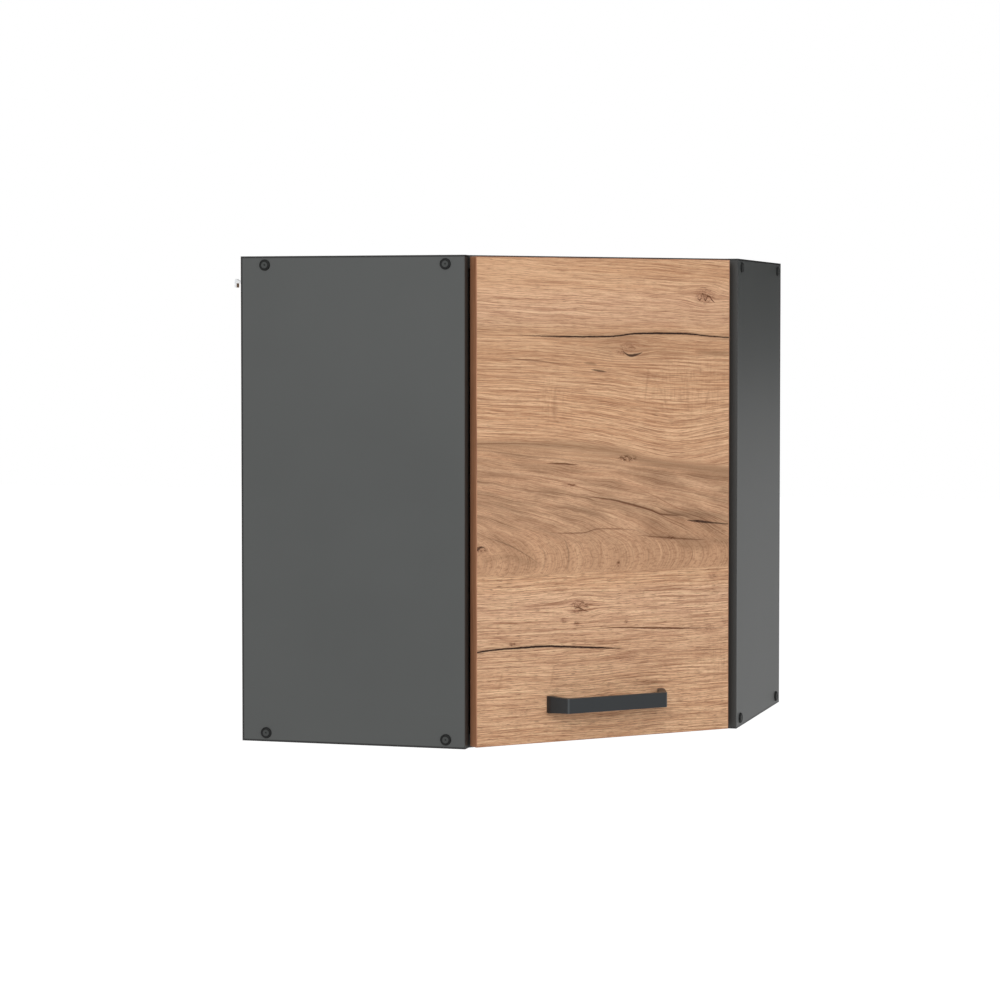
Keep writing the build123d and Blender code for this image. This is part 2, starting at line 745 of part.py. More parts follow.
# ---- Bow handle: a flat band with slanting legs ----
handle_half = handle_length / 2
front_half = handle_front_length / 2
handle_plane = Plane(
    origin=front.from_local_coords((handle_centre, door_front, handle_z)),
    x_dir=(-1, -1, 0),
    z_dir=(0, 0, 1),
)
out_of_door = Axis((0, 0, 0), (1, -1, 0))
flare_start = handle_half - handle_flare_length
band_half = handle_band / 2
foot_half = band_half + handle_flare


def shared_faces(edge, faces):
    """The faces that have this edge."""
    return [face for face in faces if any(edge.is_same(one) for one in face.edges())]


with BuildPart() as handle:
    with BuildSketch(handle_plane):
        with BuildLine():
            Polyline(
                (-handle_half, 0),
                (-handle_half + handle_foot_lean, handle_foot_rise),
                (-front_half, handle_standoff),
                (front_half, handle_standoff),
                (handle_half - handle_foot_lean, handle_foot_rise),
                (handle_half, 0),
                (handle_half - handle_foot, 0),
                (front_half - handle_bar, handle_standoff - handle_bar),
                (-front_half + handle_bar, handle_standoff - handle_bar),
                (-handle_half + handle_foot, 0),
                close=True,
            )
        make_face()
        fillet(vertices().group_by(Axis.Y)[-1], handle_corner_r)
        fillet(vertices().group_by(Axis.Y)[-3], handle_inner_r)
    extrude(amount=handle_band, both=True)
    with BuildSketch(on_door(handle_centre, door_front, handle_z)):
        with BuildLine():
            for up in (1, -1):
                Line((-flare_start, up * band_half), (flare_start, up * band_half))
                for way in (1, -1):
                    TangentArc(
                        (way * flare_start, up * band_half),
                        (way * handle_half, up * foot_half),
                        tangent=(way, 0),
                    )
            for way in (1, -1):
                Line((way * handle_half, foot_half), (way * handle_half, -foot_half))
        make_face()
    extrude(amount=handle_standoff, mode=Mode.INTERSECT)
    rim_faces = handle.faces().filter_by(lambda face: abs(face.normal_at().Z) > 0.5)
    rims = rim_faces.edges().filter_by(lambda edge: len(shared_faces(edge, rim_faces)) == 1)
    on_foot = handle.faces().sort_by(out_of_door)[0:2].edges()
    chamfer(rims - on_foot, handle_edge)
    for s, z in handle_screw_places:
        with BuildSketch(on_door(s, door_front, z)):
            Circle(handle_screw_r + hole_play)
        extrude(amount=handle_hole_depth, mode=Mode.SUBTRACT)
finish(handle.part, "handle")

handle_screw = pan_screw(4.0, 2.4, handle_screw_r, handle_screw_length)
with BuildPart() as handle_screws:
    with Locations(*[into_door_back(s, door_back, z).location for s, z in handle_screw_places]):
        add(handle_screw)
finish(handle_screws.part, "handle_screws")

# ---- Hinges ----
side_corner = (board * root_half, -board * root_half)   # right side's inner front corner, in the front plane
arm_pivots = [
    (side_corner[0] + pivot[0], side_corner[1] + pivot[1]) for pivot in (outer_arm_pivot, inner_arm_pivot)
]
cup_pivots = [
    (cup_centre + pivot[0], door_back + pivot[1]) for pivot in (outer_cup_pivot, inner_cup_pivot)
]


def side_plan(z):
    """Plan plane at the right side's inner front corner: X into the cabinet, Y out of its front."""
    return Plane(origin=(inner, -side_depth, z), x_dir=(-1, 0, 0), z_dir=(0, 0, 1))


def plate_face(z, rearwards, lift):
    """Plane parallel to the right side's inner face, normal into the cabinet and local X rearwards."""
    return Plane(origin=(inner - lift, -side_depth + rearwards, z), x_dir=(0, 1, 0), z_dir=(-1, 0, 0))


def link_outline(start, bends, end):
    """Centre line of a link in plan, from its arm pivot to its cup pivot."""
    return [start] + [(start[0] + x, start[1] + y) for x, y in bends] + [end]


for side_name, hinge_z in hinge_heights:
    # Cup: a round pot with a rectangular pocket, a flange on the door's back and holes for two pins.
    with BuildPart() as cup:
        with BuildSketch(on_door(cup_centre, door_back, hinge_z)):
            Circle(cup_r)
        extrude(amount=cup_depth)
        with BuildSketch(into_door_back(cup_centre, door_back, hinge_z)):
            RectangleRounded(flange_length, flange_length, 3.0)
            with Locations((-cup_screw_offset, 0)):
                RectangleRounded(flange_ear, 2 * flange_half_height, 5.0)
        extrude(amount=flange)
        with BuildSketch(on_door(cup_centre + 0.1, door_back - flange, hinge_z)):
            RectangleRounded(pocket_length, pocket_height, 1.5)
        extrude(amount=flange + cup_depth - cup_floor, mode=Mode.SUBTRACT)
        with BuildSketch(front.offset(hinge_z - arm_cheek_high - 1.2)):
            with Locations(*cup_pivots):
                Circle(pivot_r + eye_play)
        extrude(amount=2 * (arm_cheek_high + 1.2), mode=Mode.SUBTRACT)
        for dz in (-cup_screw_pitch / 2, cup_screw_pitch / 2):
            with BuildSketch(on_door(cup_centre + cup_screw_offset, door_back - flange, hinge_z + dz)):
                Circle(cup_screw_r + hole_play)
            extrude(amount=flange, mode=Mode.SUBTRACT)
    finish(cup.part, f"{side_name}_hinge_cup")

    # Cup pins pass through the cup's walls and both links' eyes.
    with BuildPart() as cup_pins:
        with BuildSketch(front.offset(hinge_z - pin_half)):
            with Locations(*cup_pivots):
                Circle(pivot_r)
        extrude(amount=2 * pin_half)
    finish(cup_pins.part, f"{side_name}_hinge_cup_pins")

    # Outer link: two cranked plates on common pins, above and below the inner link.
    with BuildPart() as outer_link:
        for low in (outer_link_low, -outer_link_high):
            with BuildSketch(front.offset(hinge_z + low)):
                with BuildLine():
                    Polyline(*link_outline(arm_pivots[0], outer_link_bends, cup_pivots[0]))
                trace(line_width=2 * link_half)
                with Locations(arm_pivots[0]):
                    Circle(outer_arm_eye)
                with Locations(cup_pivots[0]):
                    Circle(outer_cup_eye)
                with Locations(arm_pivots[0], cup_pivots[0]):
                    Circle(pivot_r + eye_play, mode=Mode.SUBTRACT)
            extrude(amount=outer_link_high - outer_link_low)
    finish(outer_link.part, f"{side_name}_hinge_outer_link")

    # Inner link: one cranked strip between the outer link's plates.
    with BuildPart() as inner_link:
        with BuildSketch(front.offset(hinge_z - inner_link_half)):
            with BuildLine():
                Polyline(*link_outline(arm_pivots[1], inner_link_bends, cup_pivots[1]))
            trace(line_width=2 * link_half)
            with Locations(arm_pivots[1]):
                Circle(inner_eye)
            with Locations(cup_pivots[1]):
                Circle(inner_eye)
            with Locations(arm_pivots[1]):
                Circle(pivot_r + eye_play, mode=Mode.SUBTRACT)
            with Locations(cup_pivots[1]):
                Circle(pivot_r + open_eye_play, mode=Mode.SUBTRACT)
        extrude(amount=2 * inner_link_half)
    finish(inner_link.part, f"{side_name}_hinge_inner_link")

    # Arm: a folded channel whose web steps down from the mounting plate to the front edge.
    outer_pin = side_plan(0).to_local_coords(front.from_local_coords((*arm_pivots[0], 0)))
    inner_pin = side_plan(0).to_local_coords(front.from_local_coords((*arm_pivots[1], 0)))
    with BuildPart() as arm:
        with BuildSketch(side_plan(hinge_z - arm_cheek_high)):
            with BuildLine():
                Polyline(
                    (arm_front_lift, -arm_web_end),
                    (arm_front_lift, -arm_step_front),
                    (arm_plate_lift, -arm_step_rear),
                    (arm_plate_lift, -arm_length),
                    (arm_plate_lift + arm_metal, -arm_length),
                    (arm_plate_lift + arm_metal, -arm_step_rear + arm_metal / 2),
                    (arm_front_lift + arm_metal, -arm_step_front + arm_metal / 2),
                    (arm_front_lift + arm_metal, -arm_web_end),
                    close=True,
                )
            make_face()
        extrude(amount=2 * arm_cheek_high)
        for low in (arm_cheek_low, -arm_cheek_high):
            with BuildSketch(side_plan(hinge_z + low)):
                with BuildLine():
                    Polyline(
                        (arm_front_lift, -arm_web_end),
                        (arm_front_lift, -arm_step_front),
                        (plate_base, -arm_step_rear),
                        (plate_base + arm_front_lift, -arm_length),
                        (arm_plate_lift + arm_metal, -arm_length),
                        (arm_plate_lift + arm_metal, -arm_step_rear + arm_metal / 2),
                        (inner_pin.X + inner_eye, -arm_step_front + arm_metal / 2),
                        (inner_pin.X + inner_eye, inner_pin.Y),
                        (inner_pin.X, inner_pin.Y + arm_front_lift),
                        close=True,
                    )
                make_face()
                with BuildLine():
                    Line((inner_pin.X, inner_pin.Y), (outer_pin.X, outer_pin.Y))
                trace(line_width=2 * outer_arm_eye)
                with Locations((inner_pin.X, inner_pin.Y)):
                    Circle(inner_eye)
                with Locations((outer_pin.X, outer_pin.Y)):
                    Circle(outer_arm_eye)
                with Locations((inner_pin.X, inner_pin.Y), (outer_pin.X, outer_pin.Y)):
                    Circle(pivot_r + eye_play, mode=Mode.SUBTRACT)
            extrude(amount=arm_cheek_high - arm_cheek_low)
        with BuildSketch(plate_face(hinge_z, arm_screw_line, arm_plate_lift)):
            Circle(arm_screw_r + hole_play)
        extrude(amount=arm_metal, mode=Mode.SUBTRACT)
    finish(arm.part, f"{side_name}_hinge_arm")

    with BuildPart() as arm_pins:
        with BuildSketch(side_plan(hinge_z - arm_cheek_high)):
            with Locations((inner_pin.X, inner_pin.Y), (outer_pin.X, outer_pin.Y)):
                Circle(pivot_r)
        extrude(amount=2 * arm_cheek_high)
    finish(arm_pins.part, f"{side_name}_hinge_arm_pins")

    # Mounting plate: a cross with two screwed wings and a raised body under the arm.
    plate_middle = (plate_front + plate_rear) / 2
    with BuildPart() as plate:
        with BuildSketch(plate_face(hinge_z, plate_middle, 0)):
            Rectangle(plate_rear - plate_front, 2 * plate_body_half)
        extrude(amount=arm_plate_lift)
        with BuildSketch(plate_face(hinge_z, plate_line, 0)):
            RectangleRounded(plate_wing_length, 2 * plate_wing_half, 4.0)
        extrude(amount=plate_base)
        for dz in (-plate_screw_pitch / 2, plate_screw_pitch / 2):
            with BuildSketch(plate_face(hinge_z + dz, plate_line, 0)):
                Circle(plate_screw_r + hole_play)
            extrude(amount=plate_base, mode=Mode.SUBTRACT)
        with BuildSketch(plate_face(hinge_z, arm_screw_line, arm_screw_floor)):
            Circle(arm_screw_r + hole_play)
        extrude(amount=arm_plate_lift, mode=Mode.SUBTRACT)
    finish(plate.part, f"{side_name}_hinge_mounting_plate")

# ---- Hinge screws, for both hinges ----
cup_screw = pan_screw(3.6, 1.0, cup_screw_r, cup_screw_length)
with BuildPart() as hinge_cup_screws:
    with Locations(*[into_door_back(s, door_back - flange, z).location for s, z in cup_screw_places]):
        add(cup_screw)
finish(hinge_cup_screws.part, "hinge_cup_screws")

plate_screw = pan_screw(4.2, 1.8, plate_screw_r, plate_screw_length + plate_base)
with BuildPart() as hinge_plate_screws:
    with Locations(*[place.offset(plate_base).location for place in plate_screw_places]):
        add(plate_screw)
finish(hinge_plate_screws.part, "hinge_plate_screws")

arm_screw = pan_screw(3.4, 1.6, arm_screw_r, arm_plate_lift + arm_metal - arm_screw_floor)
arm_screw_places = [
    plate_face(z, arm_screw_line, arm_plate_lift + arm_metal) for _, z in hinge_heights
]
with BuildPart() as hinge_arm_screws:
    with Locations(*[place.location for place in arm_screw_places]):
        add(arm_screw)
finish(hinge_arm_screws.part, "hinge_arm_screws")
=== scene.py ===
import math

import bpy
import numpy as np
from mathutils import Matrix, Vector


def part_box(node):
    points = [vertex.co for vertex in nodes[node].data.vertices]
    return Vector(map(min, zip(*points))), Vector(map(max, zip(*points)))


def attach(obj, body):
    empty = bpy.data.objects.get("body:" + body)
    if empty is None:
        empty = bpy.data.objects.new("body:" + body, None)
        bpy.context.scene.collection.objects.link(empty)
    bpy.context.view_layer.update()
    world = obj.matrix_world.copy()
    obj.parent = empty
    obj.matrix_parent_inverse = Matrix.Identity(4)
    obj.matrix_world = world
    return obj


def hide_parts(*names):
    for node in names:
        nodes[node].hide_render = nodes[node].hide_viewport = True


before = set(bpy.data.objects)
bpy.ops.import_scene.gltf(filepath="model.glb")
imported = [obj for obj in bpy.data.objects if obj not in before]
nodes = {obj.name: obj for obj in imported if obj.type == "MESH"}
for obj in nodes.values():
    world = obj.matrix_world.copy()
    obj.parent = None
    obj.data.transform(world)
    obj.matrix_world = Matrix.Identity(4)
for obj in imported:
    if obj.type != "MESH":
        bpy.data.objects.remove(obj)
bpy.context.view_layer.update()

MM = 0.001
ROOT_HALF = math.sqrt(0.5)      # the door stands at 45 degrees to both walls


# ---------------------------------------------------------------- sizes, in mm, read from the frame


def ends(name):
    """A node's lowest and highest corner, in mm."""
    return [np.round(np.array(corner) / MM, 3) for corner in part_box(name)]


side_low, side_high = ends("left_side_panel")
height = float(side_high[2])
half_height = height / 2
wall_side = float(-side_low[1])
board = float(side_high[1] - side_low[1])
side_depth = float(ends("left_side_edge_band")[1][0])
back_panel_rear = float(ends("back_panel_left")[0][0])

# The door: its front face, handle edge and length, measured along the diagonal and square to it.
door_low, door_high = ends("door_panel")
door_foot = float(ends("door_edge_bands")[0][2])
door_band = float(door_low[2]) - door_foot
door_front = float(ROOT_HALF * (door_high[0] - door_high[1]) + board / 2)
handle_edge = float(ROOT_HALF * (door_low[0] + door_low[1]) + board / 2 - door_band)
door_length = float(ROOT_HALF * (door_high[0] + door_high[1]) - board / 2 + door_band - handle_edge)
door_middle = door_length / 2
handle_up = float(sum(corner[2] for corner in ends("handle")) / 2)

# The screws under the caps, from the rear edge, the front edge and the upper and lower edges of the side panels.
cap_r = 6.9
cap_low, cap_high = ends("screw_caps")
left_rear_screw = round(float(cap_low[0]) + cap_r, 1)
right_rear_screw = round(float(-cap_high[1]) + cap_r, 1)
screw_from_edge = round(float(cap_low[2]) + cap_r, 1)
front_screw = side_depth - 24.7

# The bow handle, half of it from the door's middle outwards: its feet, splayed legs, bends and front bar.
foot_half, foot_thick = 84, 8
bar_half, bar_thick, bar_high = 71.1, 6, 18.5
handle_reach = 31
heel_radius, bend_radius, inner_radius, rim_radius = 14, 2.6, 18, 0.6
flare, flare_start, flare_run = 1.3, 68, 16


# ---------------------------------------------------------------- shader maths


class Tone:
    """A number that varies over a surface: one node output. + - * / on it add Math nodes."""

    def __init__(self, finish, socket):
        self.finish = finish
        self.socket = socket

    def __add__(self, other):
        return self.finish.math("ADD", self, other)

    __radd__ = __add__

    def __sub__(self, other):
        return self.finish.math("SUBTRACT", self, other)

    def __rsub__(self, other):
        return self.finish.math("SUBTRACT", other, self)

    def __mul__(self, other):
        return self.finish.math("MULTIPLY", self, other)

    __rmul__ = __mul__

    def __truediv__(self, other):
        return self.finish.math("DIVIDE", self, other)

    def __rtruediv__(self, other):
        return self.finish.math("DIVIDE", other, self)


def paint(red, green, blue):
    """A colour given as 0 to 255 screen values, as the linear colour that a shader takes."""
    values = np.array([red, green, blue]) / 255
    linear = np.where(values <= 0.04045, values / 12.92, ((values + 0.055) / 1.055) ** 2.4)
    return (*(float(v) for v in linear), 1.0)


class Nodes:
    """A node tree that is being made."""

    def __init__(self, tree):
        self.tree = tree
        tree.nodes.clear()

    def node(self, kind, settings=None, sockets=None, out=0):
        """Adds a node: its type, its settings (points are a curve's), its sockets and the output that is used."""
        made = self.tree.nodes.new(kind)
        for key, value in (settings or {}).items():
            if key == "points":
                track = made.mapping.curves[0]
                while len(track.points) < len(value):
                    track.points.new(0.5, 0.5)
                for point, place in zip(track.points, value):
                    point.location = place
                made.mapping.update()
            else:
                setattr(made, key, value)
        for key, value in (sockets or {}).items():
            if isinstance(value, Tone):
                self.tree.links.new(value.socket, made.inputs[key])
            elif value is not None:
                made.inputs[key].default_value = value
        return Tone(self, made.outputs[out]) if made.outputs else None

    def math(self, operation, *values):
        return self.node("ShaderNodeMath", {"operation": operation}, dict(enumerate(values)))

    def larger(self, first, second):
        return self.math("MAXIMUM", first, second)

    def smaller(self, first, second):
        return self.math("MINIMUM", first, second)

    def size(self, value):
        """The value without its sign."""
        return self.math("ABSOLUTE", value)

    def vector(self, x, y, z=0.0):
        return self.node("ShaderNodeCombineXYZ", None, {0: x, 1: y, 2: z})

    def place(self):
        """The point on the piece, in metres: the object's own coordinates."""
        return self.node("ShaderNodeTexCoord", out="Object")

    def split(self, vector):
        outputs = self.node("ShaderNodeSeparateXYZ", None, {0: vector}).socket.node.outputs
        return [Tone(self, output) for output in outputs]

    def noise(self, vector, scale=1.0, detail=2.0, rough=0.5, swirl=0.0):
        sockets = {"Vector": vector, "Scale": scale, "Detail": detail, "Roughness": rough, "Distortion": swirl}
        return self.node("ShaderNodeTexNoise", {"noise_dimensions": "3D"}, sockets)

    def step(self, value, low, high):
        """Rises smoothly from 0 at low to 1 at high."""
        sockets = {"Value": value, "From Min": low, "From Max": high}
        return self.node("ShaderNodeMapRange", {"interpolation_type": "SMOOTHSTEP"}, sockets)

    def blend(self, factor, first, second, kind="MIX"):
        settings = {"data_type": "RGBA", "blend_type": kind}
        return self.node("ShaderNodeMix", settings, {0: factor, 6: first, 7: second}, 2)

    def curve(self, value, points):
        return self.node("ShaderNodeFloatCurve", {"points": points}, {"Value": value})

    def bump(self, relief, distance, strength):
        return self.node("ShaderNodeBump", None, {"Height": relief, "Distance": distance, "Strength": strength})

    def background_ray(self):
        """1 for rays that look at the background: straight, mirrored or through glass."""
        rays = self.node("ShaderNodeLightPath").socket.node.outputs
        names = ("Is Camera Ray", "Is Glossy Ray", "Is Transmission Ray")
        straight, mirrored, through = (Tone(self, rays[name]) for name in names)
        return self.larger(self.larger(straight, mirrored), through)


class Finish(Nodes):
    """One material: the nodes that make it, ending in a principled shader."""

    def __init__(self, name, metallic=0.0, specular=0.5):
        self.material = bpy.data.materials.new(name)
        self.material.use_nodes = True
        super().__init__(self.material.node_tree)
        settled = {"Metallic": metallic, "Specular IOR Level": specular}
        surface = self.node("ShaderNodeBsdfPrincipled", None, settled)
        self.shader = surface.socket.node
        self.node("ShaderNodeOutputMaterial", None, {"Surface": surface})

    def on_door(self):
        """A point of the door in mm: along from the handle edge, depth square to the door, up from the floor."""
        x, y, z = self.split(self.place())
        return (x + y) * (ROOT_HALF / MM) - handle_edge, (x - y) * (ROOT_HALF / MM), z / MM

    def from_middle(self, z):
        """Height above or below the cabinet's mid-height, in metres."""
        return self.size(z - half_height * MM)

    def from_walls(self, x, y):
        """Distance from the nearer wall, in metres."""
        return self.smaller(x, 0.0 - y)

    def finished(self, base, rough, relief):
        """Links colour, roughness and bump to the shader's own sockets, and returns the material."""
        for name, value in (("Base Color", base), ("Roughness", rough), ("Normal", relief)):
            self.tree.links.new(value.socket, self.shader.inputs[name])
        return self.material


# ---------------------------------------------------------------- finishes


def oak_front():
    """Oak-print board with the grain lying along the door: planks, knots, cracks, ray flecks and pores."""
    f = Finish("oak_front", specular=0.15)
    along, depth, up = f.on_door()
    # The inner face's print is turned upside down.
    inner_face = f.step(depth, door_front - 0.75 * board, door_front - 0.75 * board - 1)
    up = up + inner_face * (height - up * 2)

    def spot(a, h, wide, high):
        """A soft hill, 1 at the middle: exp(-((along - a) / wide)^2 - ((up - h) / high)^2)."""
        da = (along - a) / wide
        dh = (up - h) / high
        return f.math("EXPONENT", 0.0 - (da * da + dh * dh))

    def drawn(length, width, line, detail=2.0, rough=0.5, seed=0.0):
        """Noise drawn out along the grain, length by width in mm."""
        return f.noise(f.vector(along / length + seed, line / width, depth / length), 1.0, detail, rough)

    def by_height(points):
        """A value that changes with the height on the door only: (mm, value) pairs."""
        return f.curve(up / height, [(h / height, v) for h, v in points])

    # The grain's own height: slow waves, and each knot spreads the lines round itself.
    sway = drawn(150, 60, up, 1.0, 0.4)
    ripple = drawn(34, 12, up, 1.0, 0.4, 7.0)
    lift = (sway - 0.5) * 11 + (ripple - 0.5) * 1.6
    for a, h, wide, high, push in (
        (328.0, 551.5, 30.0, 16.0, 0.8),
        (217.0, 487.0, 36.0, 13.0, 0.8),
        (146.0, 167.5, 30.0, 14.0, 0.8),
        (140.0, 147.0, 12.0, 6.0, 0.5),
        (214.0, 350.0, 30.0, 10.0, 0.6),
        (5.0, 243.5, 22.0, 9.0, 0.6),
    ):
        lift = lift - (up - h) * spot(a, h, wide, high) * push

    # Upper plank: lines fall gently to the right and dip right of the middle low down.
    turn = (along - 275) / 95
    dip = f.math("EXPONENT", 0.0 - turn * turn) * (1 - f.step(up, 345.0, 470.0))
    upper = up + lift + along * 0.045 + dip * 24
    # Middle zone: arcs lying on their side, each a parabola along + (up - 226)^2 / 32 = constant.
    wobble = (drawn(66, 32, up, 2.0, 0.5, 3.0) - 0.5) * 9
    from_axis = up - 226 + wobble + lift * 0.4
    arcs = f.math("SQRT", f.larger(along + 60 + from_axis * from_axis / 32 + wobble, 1.0)) * 12
    lower = up + lift * 0.9 + 400
    in_arcs = f.step(up + along * 0.11 + lift, 380.0, 362.0)
    in_lower = f.step(up, 210.4, 209.4)
    grain = f.node("ShaderNodeMix", {"data_type": "FLOAT"}, {0: in_arcs, 2: upper, 3: arcs})
    grain = f.node("ShaderNodeMix", {"data_type": "FLOAT"}, {0: in_lower, 2: grain, 3: lower})
    middle = in_arcs * (1 - in_lower)
    swirl = middle * f.step(up, 285.0, 225.0)
    straight = (1 - swirl * 0.85) * (1 - spot(30, 585, 110, 28) * 0.5)

    # Growth lines, fibres and pores, all drawn along the grain.
    bands = drawn(260, 11.0, grain, 2.0, 0.5)
    lines = drawn(210, 1.7, grain, 2.0, 0.55)
    threads = drawn(70, 1.0, grain, 2.0, 0.6, 5.0)
    fibres = drawn(22, 0.7, grain, 2.0, 0.6, 11.0)
    dashes = drawn(13, 0.65, grain, 1.0, 0.5, 23.0)
    mottle = f.noise(f.vector((along + up * 0.7) / 7, (up - along * 0.2) / 2.6, 0.0), 1.0, 3.0, 0.65)
    pores = drawn(6.5, 0.4, grain, 1.0, 0.5, 19.0)
    cloud = drawn(75, 16, grain, 3.0, 0.55, 2.0)
    patch = f.noise(f.vector(along / 120, up / 48, 0.0), 1.0, 2.0, 0.5)
    drift = drawn(180, 22, grain, 2.0, 0.5, 31.0)
    rings = f.math("SINE", (grain + (drift - 0.5) * 16) * (2 * math.pi / 4.7))

    pale = paint(248, 210, 168)
    light = paint(234, 188, 148)
    tan = paint(217, 167, 127)
    rosy = paint(218, 177, 152)
    soft_brown = paint(171, 123, 91)
    brown = paint(150, 105, 76)
    dark_brown = paint(98, 60, 38)
    red_brown = paint(148, 96, 72)
    grey_brown = paint(138, 104, 76)
    grey_dark = paint(92, 68, 48)
    crack_black = paint(40, 18, 8)

    figure = f.blend(f.step(bands * 0.7 + patch * 0.3, 0.38, 0.62) * straight + swirl * 0.35, light, tan)
    rosiness = by_height((
        (0, 0.1), (150, 0.4), (170, 0.45), (205, 0.15), (300, 0.3), (380, 0.1), (500, 0.05),
        (530, 0.4), (550, 0.35), (580, 0.05), (600, 0.05),
    ))
    figure = f.blend(rosiness, figure, rosy)
    even_lines = by_height((
        (0, 0.25), (55, 0.35), (85, 0.4), (115, 0.3), (150, 0.15), (212, 0.15), (360, 0.2),
        (385, 0.8), (470, 0.9), (500, 0.3), (600, 0.25),
    ))
    figure = f.blend(f.step(rings, -0.1, 0.95) * even_lines * 0.62 * straight, figure, soft_brown)
    calm = straight * (1 - middle * 0.3)
    figure = f.blend(f.step(lines, 0.5, 0.62) * 0.46 * calm, figure, soft_brown)
    figure = f.blend(f.step(lines, 0.46, 0.34) * 0.28 * calm, figure, pale)
    figure = f.blend(f.step(threads, 0.52, 0.63) * (0.6 + 0.14 * in_lower) * calm, figure, brown)
    figure = f.blend(f.step(threads, 0.46, 0.35) * (0.46 + 0.24 * in_lower) * calm, figure, pale)
    figure = f.blend(f.step(fibres, 0.53, 0.65) * (0.45 - swirl * 0.28), figure, brown)
    figure = f.blend(f.step(fibres, 0.46, 0.35) * 0.35, figure, pale)

    figure = f.blend(f.step(dashes, 0.6, 0.68) * (0.38 + 0.3 * in_lower), figure, dark_brown)
    figure = f.blend((middle * 0.2 + swirl * 0.3) * f.step(mottle, 0.48, 0.64), figure, brown)
    figure = f.blend((middle * 0.14 + swirl * 0.2) * f.step(mottle, 0.44, 0.32), figure, light)

    # Ray flecks across the grain in the pale part of the upper plank.
    rays = f.noise(f.vector(along / 2.6, up / 21, 0.0), 1.0, 2.0, 0.6)
    flecked = spot(305, 437, 62, 36) + spot(105, 425, 22, 26) + spot(345, 92, 30, 22) * 0.8
    figure = f.blend(f.step(rays, 0.5, 0.68) * flecked * 0.28, figure, brown)
    figure = f.blend(f.step(rays, 0.46, 0.32) * flecked * 0.16, figure, pale)

    # Grey-brown cloud over the middle zone, and a little of it beside the upper crack.
    haze = f.smaller(middle * 0.85 + spot(240, 490, 130, 15) * 0.6 + spot(40, 512, 90, 7) * 0.8, 1.0)
    figure = f.blend(haze * (1 - swirl * 0.4) * f.step(cloud, 0.32, 0.62) * 0.5, figure, grey_brown)
    figure = f.blend(middle * straight * f.step(cloud * 0.5 + lines * 0.5, 0.52, 0.66) * 0.36, figure, grey_dark)
    figure = f.blend(middle * straight * f.step(threads * 0.6 + cloud * 0.4, 0.54, 0.66) * 0.28, figure, dark_brown)
    sunk = f.step(pores, 0.6, 0.7)
    figure = f.blend(sunk * (0.2 + 0.15 * in_lower), figure, dark_brown)
    depth_of_tone = by_height((
        (0, 0.4), (20, 0.25), (50, 0.05), (77, 0.0), (102, 0.3), (137, 0.25), (165, 0.0),
        (206, 0.1), (214, 0.9), (250, 0.8), (300, 0.35), (345, 0.4), (388, 0.05), (420, 0.1),
        (460, 0.4), (490, 0.5), (517, 0.5), (545, 0.1), (578, 0.4), (600, 0.5),
    ))
    figure = f.blend(depth_of_tone * 0.3, figure, brown)

    ragged = (f.noise(f.vector(along / 6, up / 6, 0.0), 1.0, 3.0, 0.65) - 0.5) * 1.1
    torn = f.noise(f.vector(along / 4.4, up / 2.4, depth / 5.0), 1.0, 2.0, 0.6, 0.8)

    def knot(figure, a, h, wide, high, warm, heart):
        """A knot at a along and h up, in mm: a warm stain, and a darker torn heart."""
        core = spot(a, h, wide, high)
        figure = f.blend(core * warm * 0.62, figure, red_brown)
        return f.blend(f.step(core, 0.2, 0.75) * f.step(torn, 0.49, 0.56) * heart, figure, dark_brown)

    def stroke(figure, points, halves, colour, strength, edge, upright):
        """A mark along a smooth line through points (along, up), with half widths at even steps, all in mm.

        An upright mark is a curve over the height, any other a curve over the length. Its rim fades over edge mm.
        """
        widest = 12
        across, course = (along, up) if upright else (up, along)
        runs = sorted((h, a) if upright else (a, h) for a, h in points)
        first, last = runs[0][0], runs[-1][0]
        low = min(v for _, v in runs) - 1
        high = max(v for _, v in runs) + 1
        t = (course - first) / (last - first)
        path = f.curve(t, [((u - first) / (last - first), (v - low) / (high - low)) for u, v in runs])
        half = f.curve(t, [(i / (len(halves) - 1), v / widest) for i, v in enumerate(halves)])
        apart = f.size(across - path * (high - low) - low + ragged)
        inside = f.step(apart - half * widest, edge, -edge) * f.step(half, 0.0, 0.02)
        return f.blend(inside * strength, figure, colour)

    for a, h, wide, high, warm, heart in (
        (328.0, 551.5, 16.0, 10.5, 0.55, 0.45),
        (217.0, 489.0, 17.0, 8.0, 0.3, 0.25),
        (204.0, 481.0, 9.0, 3.0, 0.3, 0.5),
        (146.0, 167.5, 14.0, 9.0, 0.6, 0.6),
        (122.6, 152.0, 5.0, 3.5, 0.6, 0.4),
        (141.0, 146.5, 4.5, 3.0, 0.7, 0.9),
        (212.0, 146.0, 3.0, 2.0, 0.7, 0.7),
        (50.0, 125.5, 5.0, 2.5, 0.6, 0.8),
        (214.0, 350.0, 15.0, 4.5, 0.2, 1.0),
        (4.0, 243.5, 12.0, 4.0, 0.4, 1.0),
        (131.0, 318.5, 10.0, 2.2, 0.5, 0.9),
        (323.0, 268.0, 13.0, 2.4, 0.5, 1.0),
        (201.0, 219.0, 2.5, 4.0, 0.5, 0.8),
        (277.0, 249.0, 6.0, 2.4, 0.4, 0.9),
        (60.0, 43.0, 16.0, 7.0, 0.3, 0.2),
        (212.0, 101.0, 16.0, 5.0, 0.3, 0.2),
        (340.0, 198.0, 6.0, 4.0, 0.35, 0.4),
        (334.0, 133.0, 8.0, 5.0, 0.35, 0.4),
    ):
        figure = knot(figure, a, h, wide, high, warm, heart)

